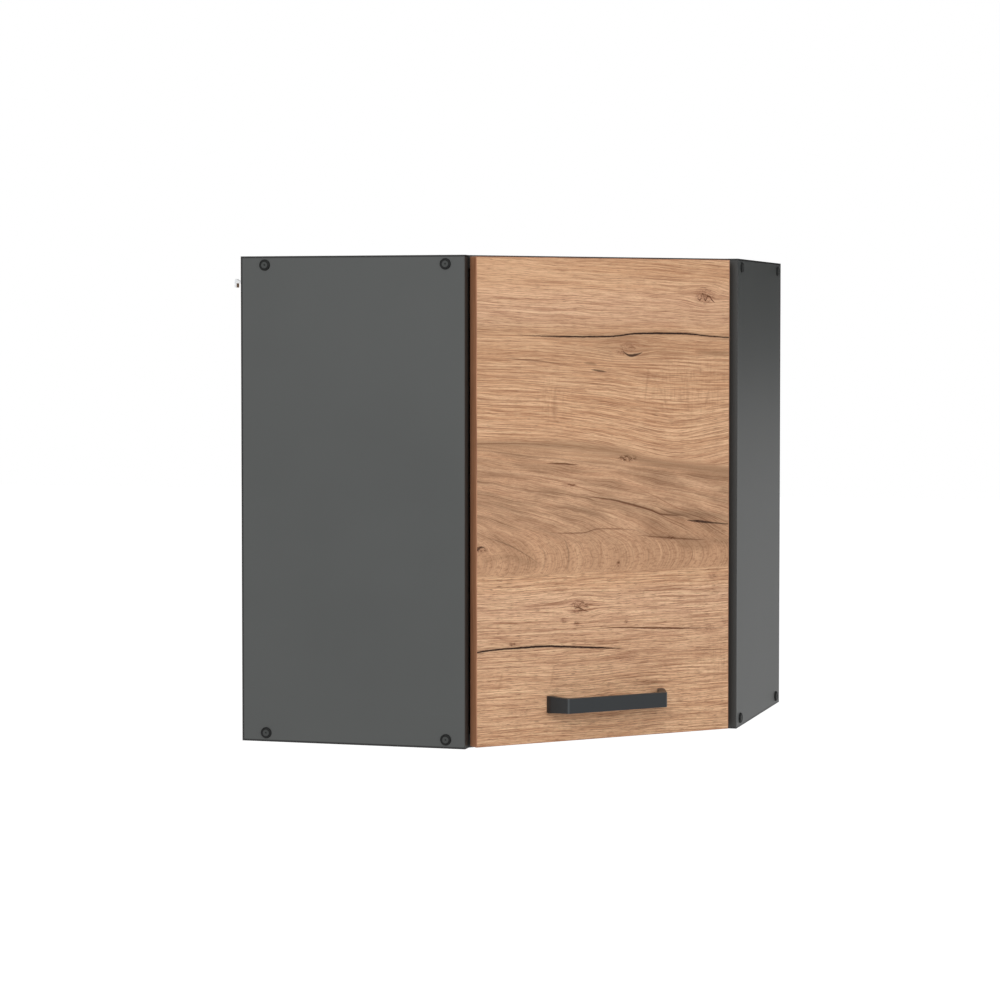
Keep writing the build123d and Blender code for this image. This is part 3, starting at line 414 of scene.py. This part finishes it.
    upper_crack = [(88, 502), (150, 501), (190, 501.5), (232, 505), (285, 505), (330, 502), (366, 499.5)]
    lower_crack = [(-1, 117.8), (30, 120.2), (60, 120.6), (92, 121), (120, 119.2), (150, 117), (197, 113.4)]
    for points, halves, colour, strength, edge, upright in (
        # Soft stains.
        (upper_crack, (0, 2, 3, 3, 3, 2, 2), grey_brown, 0.45, 3.5, False),
        (lower_crack, (2, 2, 2, 2, 2, 1, 0), grey_brown, 0.4, 2.5, False),
        ([(-1, 371), (109, 368), (165, 363), (199, 358), (249, 345), (298, 338), (366, 328)],
         (3, 4, 5, 5, 4, 5, 7), grey_brown, 0.62, 6.0, False),
        ([(130, 306), (165, 303), (212, 294), (249, 285), (265, 279), (332, 277), (366, 272)],
         (0, 2, 4, 4, 4, 3, 2), grey_dark, 0.3, 4.5, False),
        ([(20, 286), (60, 276), (110, 258), (150, 246)], (0, 3, 3, 0), grey_dark, 0.22, 5.0, False),
        ([(225, 262), (255, 252), (282, 249), (366, 240)], (0, 3, 4, 4, 3), grey_dark, 0.24, 4.0, False),
        ([(312, 483), (335, 480.5), (366, 479.5)], (0, 3, 3), grey_brown, 0.5, 3.0, False),
        ([(286, 241), (312, 238), (342, 235)], (0, 6, 5, 0), grey_brown, 0.4, 5.0, False),
        ([(8, 228), (40, 233), (70, 226), (96, 220)], (0, 3, 3, 0), grey_brown, 0.35, 5.0, False),
        # Thin dark lines of the middle zone.
        ([(96, 346), (120, 345), (146, 342.5)], (0, 1.1, 0), dark_brown, 0.85, 0.6, False),
        ([(150, 304), (190, 299), (212, 294), (249, 284), (265, 278.5), (300, 276.5)],
         (0, 0.8, 1.3, 1.2, 0.9, 0), dark_brown, 0.85, 0.8, False),
        ([(225, 313), (255, 301), (282, 288), (306, 280)], (0, 0.5, 0.7, 0), brown, 0.8, 0.9, False),
        ([(60, 333), (105, 326), (150, 314), (190, 300)], (0, 0.5, 0.6, 0), brown, 0.7, 0.9, False),
        ([(300, 270), (320, 268), (345, 265), (366, 263)], (0, 1.5, 0.9, 0.6), crack_black, 0.85, 0.7, False),
        ([(100, 261), (149, 259), (172, 263), (202, 262), (230, 258)],
         (0, 0.8, 0.8, 0.7, 0), dark_brown, 0.6, 0.7, False),
        ([(225, 254), (245, 251.6), (275, 248.6), (331, 244)], (0, 0.7, 1.1, 0.8, 0), dark_brown, 0.7, 0.7, False),
        ([(12, 258), (45, 247), (70, 234), (90, 221)], (0, 0.7, 0.6, 0), grey_dark, 0.6, 1.0, False),
        ([(-1, 371.5), (60, 371), (120, 366), (160, 363)], (0.6, 0.5, 0.4, 0), dark_brown, 0.5, 0.6, False),
        ([(121, 254), (128, 240), (129.5, 228), (126, 213)], (0, 0.7, 0.9, 0), grey_dark, 0.5, 1.2, True),
        ([(169, 252), (176, 237), (175.5, 224), (171, 212)], (0, 0.7, 0.9, 0), brown, 0.5, 1.5, True),
        ([(249, 249), (262, 237), (263, 226), (251, 213)], (0, 0.8, 1.0, 0), light, 0.5, 1.4, True),
        ([(84, 246), (95, 236), (96, 226), (90, 213)], (0, 0.8, 0.8, 0), grey_dark, 0.35, 1.6, True),
        ([(318, 252), (332, 240), (334, 228), (322, 214)], (0, 0.8, 0.8, 0), brown, 0.4, 1.8, True),
        # Short marks elsewhere.
        ([(150, 469), (160, 468), (170, 466)], (0, 1.4, 0), grey_brown, 0.7, 1.2, False),
        ([(160, 460.6), (172, 459), (184, 457.2)], (0, 1.2, 0.1), crack_black, 0.75, 0.7, False),
        ([(34, 475.5), (60, 473.5), (100, 470), (139, 464)], (0, 0.9, 0.6, 0), dark_brown, 0.6, 0.8, False),
        ([(184, 140.2), (210, 138.6), (240, 137)], (0.3, 0.7, 0.7), dark_brown, 0.95, 0.5, False),
        ([(249, 136), (275, 134.6), (299, 133.4)], (0.6, 0.9, 0.6), dark_brown, 1.0, 0.5, False),
        ([(310, 105), (345, 104.5), (366, 103)], (0, 0.5, 0.3), dark_brown, 0.6, 0.6, False),
        # Ray flecks across the pale planks.
        ([(112, 442), (109, 420), (110, 396)], (0, 2.6, 2.0, 0), brown, 0.3, 2.4, True),
        ([(244, 462), (241, 436), (238, 412)], (0, 0.6, 1.4, 0), brown, 0.36, 1.6, True),
        ([(233, 470), (247, 455), (260, 438), (274, 405)], (0, 0.7, 1.0, 0.6, 0), brown, 0.26, 2.2, True),
        ([(302, 450), (303, 404)], (0, 1.4, 1.6, 0), brown, 0.2, 2.4, True),
        ([(334, 434), (327, 410)], (0, 1.3, 0), brown, 0.35, 2.2, True),
        ([(36, 92), (30, 68)], (0, 1.4, 0), brown, 0.3, 2.2, True),
        ([(109, 96), (104, 72)], (0, 1.4, 0), brown, 0.3, 2.2, True),
        # The cracks themselves.
        (upper_crack, (0.5, 0.9, 0.9, 0.95, 1.15, 1.2, 0.85, 0.65), crack_black, 1.0, 0.45, False),
        (lower_crack, (0.9, 1.0, 1.1, 1.3, 1.2, 1.1, 1.15, 0.5), crack_black, 1.0, 0.45, False),
        ([(207, 484), (211, 480), (218, 477.6), (226, 478.6), (236, 482)], (0.3, 1.2, 1.7, 1.1, 0),
         crack_black, 0.9, 0.8, False),
        # Curved lines in and round the knots.
        ([(203, 489), (211, 493.5), (222, 494.5), (233, 489)], (0, 0.5, 0.5, 0), brown, 0.6, 0.6, False),
        ([(214, 486), (220, 488), (227, 485.5)], (0, 0.7, 0), dark_brown, 0.6, 0.6, False),
        ([(316, 557), (320, 547), (324, 555), (328, 546.5), (332, 552), (338, 547), (343, 543.5)],
         (0, 1.0, 0.9, 1.1, 1.0, 0.9, 0), dark_brown, 1.0, 0.5, False),
        ([(319, 560), (324, 563), (331, 560)], (0, 0.5, 0), dark_brown, 0.6, 0.6, False),
        ([(-1, 245.5), (3, 243.6), (7, 246), (12, 244)], (0.8, 1.2, 0.9, 0.3), crack_black, 0.75, 0.6, False),
        ([(136, 168), (145, 166), (151, 163), (160, 160)], (0, 0.9, 0.7, 0), dark_brown, 0.85, 0.6, False),
        ([(136, 176), (146, 174), (156, 169)], (0, 0.5, 0), dark_brown, 0.6, 0.6, False),
    ):
        figure = stroke(figure, points, halves, colour, strength, edge, upright)

    rough = 0.46 + (fibres - 0.5) * 0.12 + sunk * 0.16
    return f.finished(figure, rough, f.bump(fibres * 0.4 + threads * 0.5 - sunk * 0.8, 0.06 * MM, 0.7))


def oak_edge():
    """The door's thin edge band: the oak tone with its print running along the edge."""
    f = Finish("oak_edge_band")
    x, y, z = f.split(f.place())
    across = (x - y) / MM
    side = (x + y) / MM
    band_end = (half_height - door_foot - door_band) * MM
    upright = f.step(f.from_middle(z), band_end, band_end - 0.5 * MM)
    course = z * upright / MM + side * (1 - upright)
    lines = f.noise(f.vector(across / 1.3, side / 90, course / 90), 1.0, 3.0, 0.6)
    fibres = f.noise(f.vector(across / 0.4, side / 20, course / 20), 1.0, 2.0, 0.6)
    figure = f.blend(f.step(lines, 0.38, 0.64), paint(184, 130, 96), paint(148, 98, 68))
    figure = f.blend(f.step(fibres, 0.5, 0.7) * 0.4, figure, paint(112, 72, 50))
    return f.finished(figure, 0.5 + (fibres - 0.5) * 0.1, f.bump(fibres, 0.04 * MM, 0.6))


def anthracite_edge():
    """Dark grey edge band, with painted shade that darkens its last 2 mm at the cabinet's top and foot."""
    f = Finish("anthracite_edge_band")
    place = f.place()
    z = f.split(place)[2]
    grain = f.noise(place, 900.0, 3.0, 0.6)
    cloud = f.noise(place, 22.0, 2.0, 0.5)
    base = f.blend(cloud * 0.6 + grain * 0.4, paint(42, 42, 40), paint(50, 50, 48))
    # Painted shade: the last 2 mm at the top and foot are painted near black.
    painted_end_shade = f.step(f.from_middle(z), (half_height - 2.8) * MM, (half_height - 2) * MM)
    base = f.blend(painted_end_shade, base, paint(10, 10, 10))
    return f.finished(base, 0.42 + (grain - 0.5) * 0.08, f.bump(grain, 0.03 * MM, 0.6))


def anthracite_board(name, rim):
    """Dark grey melamine with a fine pearl. With rim, painted shade: a dark line along the edges; raw chipboard at
    the walls.
    """
    f = Finish(name)
    place = f.place()
    x, y, z = f.split(place)
    pearl = f.noise(place, 1300.0, 2.0, 0.6)
    tone = f.noise(place, 8.0, 2.0, 0.5)
    base = f.blend(tone, paint(70, 72, 71), paint(77, 79, 78))
    from_wall = f.from_walls(x, y)
    if rim:
        from_end = half_height * MM - f.from_middle(z)
        # Painted shade: a dark line painted along the top, the foot and the edges at the walls.
        line = f.step(f.smaller(from_end, from_wall), 2.8 * MM, 1.8 * MM)
        base = f.blend(line, base, paint(12, 12, 12))
    raw = f.step(from_wall, 0.08 * MM, 0.03 * MM)
    chips = f.node("ShaderNodeTexVoronoi", {"feature": "F1"}, {"Vector": place, "Scale": 420.0}, "Color")
    speck = f.noise(place, 700.0, 3.0, 0.7)
    chip_tone = f.blend(speck, paint(150, 116, 78), paint(196, 164, 120))
    chip_tone = f.blend(0.25, chip_tone, chips, "MULTIPLY")
    base = f.blend(raw, base, chip_tone)
    rough = 0.34 + (pearl - 0.5) * 0.1 + raw * 0.4
    return f.finished(base, rough, f.bump(pearl + speck * raw * 6, 0.03 * MM, 0.5))


def back_panel_board():
    """Thin hardboard: dark grey lacquer inside, raw brown fibres towards the wall."""
    f = Finish("back_board")
    place = f.place()
    x, y, _ = f.split(place)
    raw = f.step(f.from_walls(x, y), (back_panel_rear + 2) * MM, (back_panel_rear + 1.9) * MM)
    fibres = f.noise(place, 500.0, 4.0, 0.7, 0.6)
    tone = f.noise(place, 14.0, 3.0, 0.6)
    inside = f.blend(tone, paint(74, 76, 75), paint(82, 84, 83))
    towards_wall = f.blend(f.step(fibres, 0.35, 0.65), paint(142, 102, 66), paint(176, 134, 94))
    towards_wall = f.blend(tone * 0.4, towards_wall, paint(126, 88, 56))
    base = f.blend(raw, inside, towards_wall)
    return f.finished(base, 0.45 + raw * 0.3, f.bump(fibres, 0.06 * MM, 0.5))


def cap_plastic():
    """Black plastic caps: satin, with the dish painted paler as a painted highlight, round a dark centre point.

    The distance from a cap's centre is worked out for all caps at once, by folding the side panel at its middle.
    """
    f = Finish("black_plastic", specular=0.2)
    place = f.place()
    x, y, z = f.split(place)

    def folded(value, rear, front):
        """Distance, in metres, from the nearer of two places that lie rear and front mm from the wall."""
        return f.size(value - (front + rear) / 2 * MM) - (front - rear) / 2 * MM

    dz = f.from_middle(z) - (half_height - screw_from_edge) * MM
    on_left = f.step(y, -(wall_side - board) * MM, -(wall_side - board / 2) * MM)
    dx = folded(x, left_rear_screw, front_screw)
    dy = folded(0.0 - y, right_rear_screw, front_screw)
    side = dx * on_left + dy * (1 - on_left)
    away = f.math("SQRT", side * side + dz * dz) / MM
    grit = f.noise(place, 900.0, 3.0, 0.6)
    # Painted highlight: the dish between about 1 and 4 mm from the centre is painted paler.
    painted_dish_highlight = f.step(away, 4.3, 3.7) * f.step(away, 0.7, 1.3)
    base = f.blend(grit, paint(12, 13, 13), paint(18, 19, 19))
    base = f.blend(painted_dish_highlight * 0.85, base, paint(72, 74, 73))
    return f.finished(base, 0.5 + (grit - 0.5) * 0.1, f.bump(grit, 0.02 * MM, 0.5))


def handle_lacquer():
    """Black powder lacquer on metal: a fine bluish grain, with a painted highlight, a little lighter, on the two
    front bends.
    """
    f = Finish("black_handle", specular=0.4)
    place = f.place()
    along, depth, _ = f.on_door()
    from_bend = f.size(f.size(along - door_middle) - (bar_half - 0.5))
    # Painted highlight: a lighter line painted along the two front bends.
    painted_bend_highlight = f.step(from_bend, 1.5, 0.4) * f.step(depth - door_front, handle_reach - 2.5, handle_reach - 1.3)
    grain = f.noise(place, 1500.0, 3.0, 0.6)
    cloud = f.noise(place, 60.0, 2.0, 0.5)
    base = f.blend(cloud * 0.5 + grain * 0.5, paint(24, 28, 31), paint(31, 35, 38))
    base = f.blend(painted_bend_highlight * 0.6, base, paint(78, 82, 84))
    return f.finished(base, 0.34 + (grain - 0.5) * 0.14, f.bump(grain, 0.03 * MM, 0.6))


def plain(name, dark, light, rough, metallic=0.0, grain=900.0, relief=0.03, vary=0.08):
    """A close-grained finish between two near colours, with fine and slow noise."""
    f = Finish(name, metallic)
    place = f.place()
    fine = f.noise(place, grain, 3.0, 0.6)
    slow = f.noise(place, grain / 40, 2.0, 0.5)
    base = f.blend(slow * 0.6 + fine * 0.4, paint(*dark), paint(*light))
    return f.finished(base, rough + (fine - 0.5) * vary, f.bump(fine, relief * MM, 0.6))


finishes = {
    "oak_front": oak_front(),
    "oak_edge_band": oak_edge(),
    "anthracite_board": anthracite_board("anthracite_board", False),
    "anthracite_edge_band": anthracite_edge(),
    "back_board": back_panel_board(),
    "black_handle": handle_lacquer(),
    "black_plastic": cap_plastic(),
    "clear_rubber": plain("clear_rubber", (200, 200, 196), (220, 220, 216), 0.3),
    "beech": plain("beech", (196, 160, 120), (212, 178, 138), 0.6),
    "grey_plastic": plain("grey_plastic", (172, 173, 172), (184, 185, 184), 0.4),
    "zinc_steel": plain("zinc_steel", (206, 208, 210), (226, 228, 230), 0.42, 0.8, 500.0, 0.03, 0.16),
    "nickel_steel": plain("nickel_steel", (196, 194, 188), (212, 210, 204), 0.26, 1.0, 1200.0, 0.02, 0.1),
}
side_board = anthracite_board("anthracite_side_board", True)
for name, node in nodes.items():
    for slot in node.material_slots:
        slot.material = finishes[slot.material.name.split(".")[0]]
        if name in ("left_side_panel", "right_side_panel"):
            slot.material = side_board


# ---------------------------------------------------------------- pieces


def piece(name, points, faces, body, slot, *replaced):
    """Makes a piece from points in metres, smooth, riding on its body in place of its nodes."""
    mesh = bpy.data.meshes.new(name)
    mesh.from_pydata(points.tolist(), [], faces)
    mesh.shade_smooth()
    mesh.update()
    made = bpy.data.objects.new(name, mesh)
    bpy.context.collection.objects.link(made)
    mesh.materials.append(finishes[slot])
    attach(made, body)
    if replaced:
        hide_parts(*replaced)
    return made


def tube_faces(stations, ring, capped=True):
    """Quads between neighbouring rings of a tube, with a face over each end."""
    i, j = np.meshgrid(np.arange(stations - 1), np.arange(ring), indexing="ij")
    a = i * ring + j
    b = i * ring + (j + 1) % ring
    quads = np.stack([a, a + ring, b + ring, b], -1).reshape(-1, 4).tolist()
    if capped:
        quads.append(list(range(ring)))
        quads.append(list(range(stations * ring - 1, (stations - 1) * ring - 1, -1)))
    return quads


def rounded_line(points, radii, steps):
    """A polyline whose inner corners are arcs: each corner's arc touches both runs at radius times tan(turn / 2)."""
    points = np.asarray(points, float)
    out = [points[:1]]
    for before, corner, after, radius in zip(points, points[1:], points[2:], radii):
        into = (corner - before) / np.linalg.norm(corner - before)
        onto = (after - corner) / np.linalg.norm(after - corner)
        turn = math.acos(np.clip(into @ onto, -1, 1))
        reach = radius * math.tan(turn / 2)
        start = corner - into * reach
        side = onto - into * (into @ onto)
        centre = start + side / np.linalg.norm(side) * radius
        angle = np.linspace(0, turn, steps)[:, None]
        out.append(centre + (start - centre) * np.cos(angle) + into * radius * np.sin(angle))
    out.append(points[-1:])
    return np.concatenate(out)


def even(line, count):
    """The same line with evenly spaced stations between its ends."""
    run = np.concatenate([[0], np.cumsum(np.linalg.norm(np.diff(line, axis=0), axis=1))])
    want = np.linspace(0, run[-1], count)
    return np.stack([np.interp(want, run, line[:, 0]), np.interp(want, run, line[:, 1])], -1)


def on_front(along, out, up):
    """Points along the door from its handle edge, out from its front face and up (mm), as metres in the frame."""
    course = along + handle_edge
    depth = out + door_front
    return np.stack([(course + depth) * ROOT_HALF, (course - depth) * ROOT_HALF, up + 0 * course], -1) * MM


def bow_handle():
    """Flat bow: each station's section is a rounded rectangle between the outer and the inner plan line.

    Its half height is bar_high / 2 + flare ((|along| - flare_start) / flare_run)^2, so it widens towards the feet.
    """
    outer = rounded_line([(foot_half, 0), (foot_half - 0.2, 5), (bar_half, handle_reach), (0, handle_reach)],
                         (heel_radius, bend_radius), 12)
    inside = handle_reach - bar_thick
    inner = rounded_line([(foot_half - foot_thick, 0), (bar_half - bar_thick, inside), (0, inside)],
                         (inner_radius,), 24)

    def plan(line, leg_end):
        """Even stations on the leg, the bend and the bar of a half plan line, and the same mirrored."""
        bend = int(np.argmax(line[:, 1] > leg_end))
        flat = int(np.argmax(line[:, 1] > line[-1, 1] - 0.001))
        parts = (line[: bend + 1], line[bend : flat + 1], line[flat:])
        leg, corner, bar = (even(part, count) for part, count in zip(parts, (26, 14, 40)))
        half = np.concatenate([leg, corner[1:], bar[1:]])
        return np.concatenate([half, half[-2::-1] * (-1, 1)])

    outer = plan(outer, handle_reach - 3)
    inner = plan(inner, inside - 11)
    high = bar_high / 2 + flare * (np.clip(np.abs(outer[:, 0]) - flare_start, 0, None) / flare_run) ** 2
    thick = np.linalg.norm(outer - inner, axis=1)
    steps = np.linspace(0, math.pi / 2, 6)
    section = []
    for quarter in range(4):
        turn = steps + quarter * math.pi / 2
        wide = 1 if quarter in (0, 3) else -1
        tall = 1 if quarter in (0, 1) else -1
        section.append(np.stack([wide + 0 * turn, tall + 0 * turn, np.cos(turn), np.sin(turn)], -1))
    section = np.concatenate(section)
    across = section[:, 0] * (thick[:, None] / 2 - rim_radius) + section[:, 2] * rim_radius
    upward = section[:, 1] * (high[:, None] - rim_radius) + section[:, 3] * rim_radius
    outward = (outer - inner) / thick[:, None]
    surface = ((outer + inner) / 2)[:, None] + outward[:, None] * across[..., None]
    points = on_front(door_middle + surface[..., 0], surface[..., 1], handle_up + upward)
    return points.reshape(-1, 3), tube_faces(len(outer), len(section))


def screw_caps(places):
    """Dished caps on screw heads: a profile of radius and height (mm) turned round each place's outward line.

    The rim is cap_r in radius and 2.2 high; inside it the face sinks to 1.6, rises to 1.8 and dips at the centre.
    """
    radius, rise = np.array([
        (0.02, 0), (cap_r, 0), (cap_r, 0.55), (cap_r - 0.08, 1.0), (6.6, 1.45), (6.25, 1.8), (5.75, 2.08), (5.2, 2.2),
        (4.85, 2.16), (4.6, 2.0), (4.4, 1.78), (4.2, 1.6), (3.0, 1.66), (1.7, 1.8), (1.3, 1.74), (0.9, 1.45),
        (0.5, 1.25), (0.02, 1.21),
    ]).T
    turn = np.linspace(0, 2 * math.pi, 48, endpoint=False)
    ring = np.stack([radius[:, None] * np.cos(turn), radius[:, None] * np.sin(turn), rise[:, None] + 0 * turn], -1)
    ring = ring.reshape(-1, 3) * MM
    stations = len(radius)
    points, faces = [], []
    for index, (origin, sideways, outward) in enumerate(places):
        axes = np.array([sideways, (0, 0, 1), outward], float)
        hand = np.linalg.det(axes)
        points.append(np.array(origin) * MM + ring @ axes)
        cap = np.array(tube_faces(stations, len(turn), False)) + index * len(ring)
        faces += (cap if hand > 0 else cap[:, ::-1]).tolist()
        for first in (0, stations - 1):
            end = (np.arange(len(turn)) + first * len(turn) + index * len(ring)).tolist()
            faces.append(end if (first > 0) == (hand > 0) else end[::-1])
    return np.concatenate(points), faces


rows = (screw_from_edge, height - screw_from_edge)
left_caps = [((x, -wall_side, z), (1, 0, 0), (0, -1, 0)) for x in (left_rear_screw, front_screw) for z in rows]
right_caps = [((wall_side, -y, z), (0, 1, 0), (1, 0, 0)) for y in (right_rear_screw, front_screw) for z in rows]
points, faces = screw_caps(left_caps + right_caps)
piece("dished_screw_caps", points, faces, "cabinet", "black_plastic", "screw_caps")

points, faces = bow_handle()
handle = piece("bow_handle", points, faces, "door", "black_handle", "handle")
shading = handle.modifiers.new("flat faces", "WEIGHTED_NORMAL")
shading.keep_sharp = True


# ---------------------------------------------------------------- studio


world = bpy.data.worlds.new("studio")
bpy.context.scene.world = world
world.use_nodes = True
room = Nodes(world.node_tree)
soft = room.node("ShaderNodeBackground", None, {"Color": (1, 1, 1, 1), "Strength": 0.55})
white = room.node("ShaderNodeBackground", None, {"Color": (1, 1, 1, 1), "Strength": 1.0})
either = room.node("ShaderNodeMixShader", None, {0: room.background_ray(), 1: soft, 2: white})
room.node("ShaderNodeOutputWorld", None, {"Surface": either})


def stage_sheet(name, corners, material):
    """A flat sheet of the studio, round the cabinet but no part of it."""
    mesh = bpy.data.meshes.new(name)
    mesh.from_pydata(corners, [], [(0, 1, 2, 3)])
    sheet = bpy.data.objects.new(name, mesh)
    bpy.context.collection.objects.link(sheet)
    mesh.materials.append(material)
    return sheet


# Pale floor at the room's floor level below a hanging cabinet. It keeps the shadow, and glows where it is looked at.
floor_level = -1.4
floor_half = 30
floor_material = bpy.data.materials.new("pale_floor")
floor_material.use_nodes = True
pale = Nodes(floor_material.node_tree)
matt = pale.node("ShaderNodeBsdfDiffuse", None, {"Color": (0.8, 0.8, 0.8, 1)})
glow = pale.node("ShaderNodeEmission", None, {"Strength": 0.6})
lit = pale.node("ShaderNodeAddShader", None, {0: matt, 1: glow})
seen = pale.node("ShaderNodeMixShader", None, {0: pale.background_ray(), 1: matt, 2: lit})
pale.node("ShaderNodeOutputMaterial", None, {"Surface": seen})
floor_signs = ((-1, -1), (1, -1), (1, 1), (-1, 1))
stage_sheet("floor", [(x * floor_half, y * floor_half, floor_level) for x, y in floor_signs], floor_material)

# A studio screen far behind on the right, for sheen only: dark above, mid grey below.
screen_near, screen_far, screen_top = (0.9, 6), (9, 3.5), 5
dark_above, grey_below = 0.49, 0.16
screen_material = bpy.data.materials.new("studio_screen")
screen_material.use_nodes = True
shade = Nodes(screen_material.node_tree)
level = shade.split(shade.place())[2]
fading = shade.step(level, dark_above, grey_below)
tone = shade.blend(fading, (0.02, 0.02, 0.02, 1), (0.47, 0.47, 0.47, 1))
screen_glow = shade.node("ShaderNodeEmission", None, {"Color": tone, "Strength": 1.0})
shade.node("ShaderNodeOutputMaterial", None, {"Surface": screen_glow})
foot_line = [(*screen_near, floor_level), (*screen_far, floor_level)]
top_line = [(*screen_far, screen_top), (*screen_near, screen_top)]
screen = stage_sheet("studio_screen", foot_line + top_line, screen_material)
screen.visible_camera = False
screen.visible_diffuse = False
screen.visible_shadow = False


def lamp(name, place, aim, size, power):
    """A square soft lamp that faces the aim."""
    data = bpy.data.lights.new(name, "AREA")
    data.size = size
    data.energy = power
    made = bpy.data.objects.new(name, data)
    bpy.context.collection.objects.link(made)
    made.location = place
    made.rotation_euler = (Vector(aim) - Vector(place)).to_track_quat("-Z", "Y").to_euler()


lit_place = (0.28, -0.28, 0.3)
lamp("front_soft", (0.6, -4.0, 2.4), lit_place, 2.6, 60)
lamp("right_soft", (3.4, -2.4, 1.2), lit_place, 2.0, 25)

# The camera, where the photo's perspective puts it: metres, and degrees down and to the left.
camera_place = (1.3326, -4.0095, 0.5060)
camera_down, camera_left = 2.4507, 16.19
camera_data = bpy.data.cameras.new("camera")
camera_data.lens = 107.104
camera_data.sensor_width = 36
camera_data.shift_y = -0.04
camera_data.clip_end = 100
camera = bpy.data.objects.new("camera", camera_data)
bpy.context.collection.objects.link(camera)
camera.location = camera_place
camera.rotation_euler = (math.radians(90 - camera_down), 0, math.radians(camera_left))
bpy.context.scene.camera = camera
bpy.context.scene.view_settings.view_transform = "Standard"
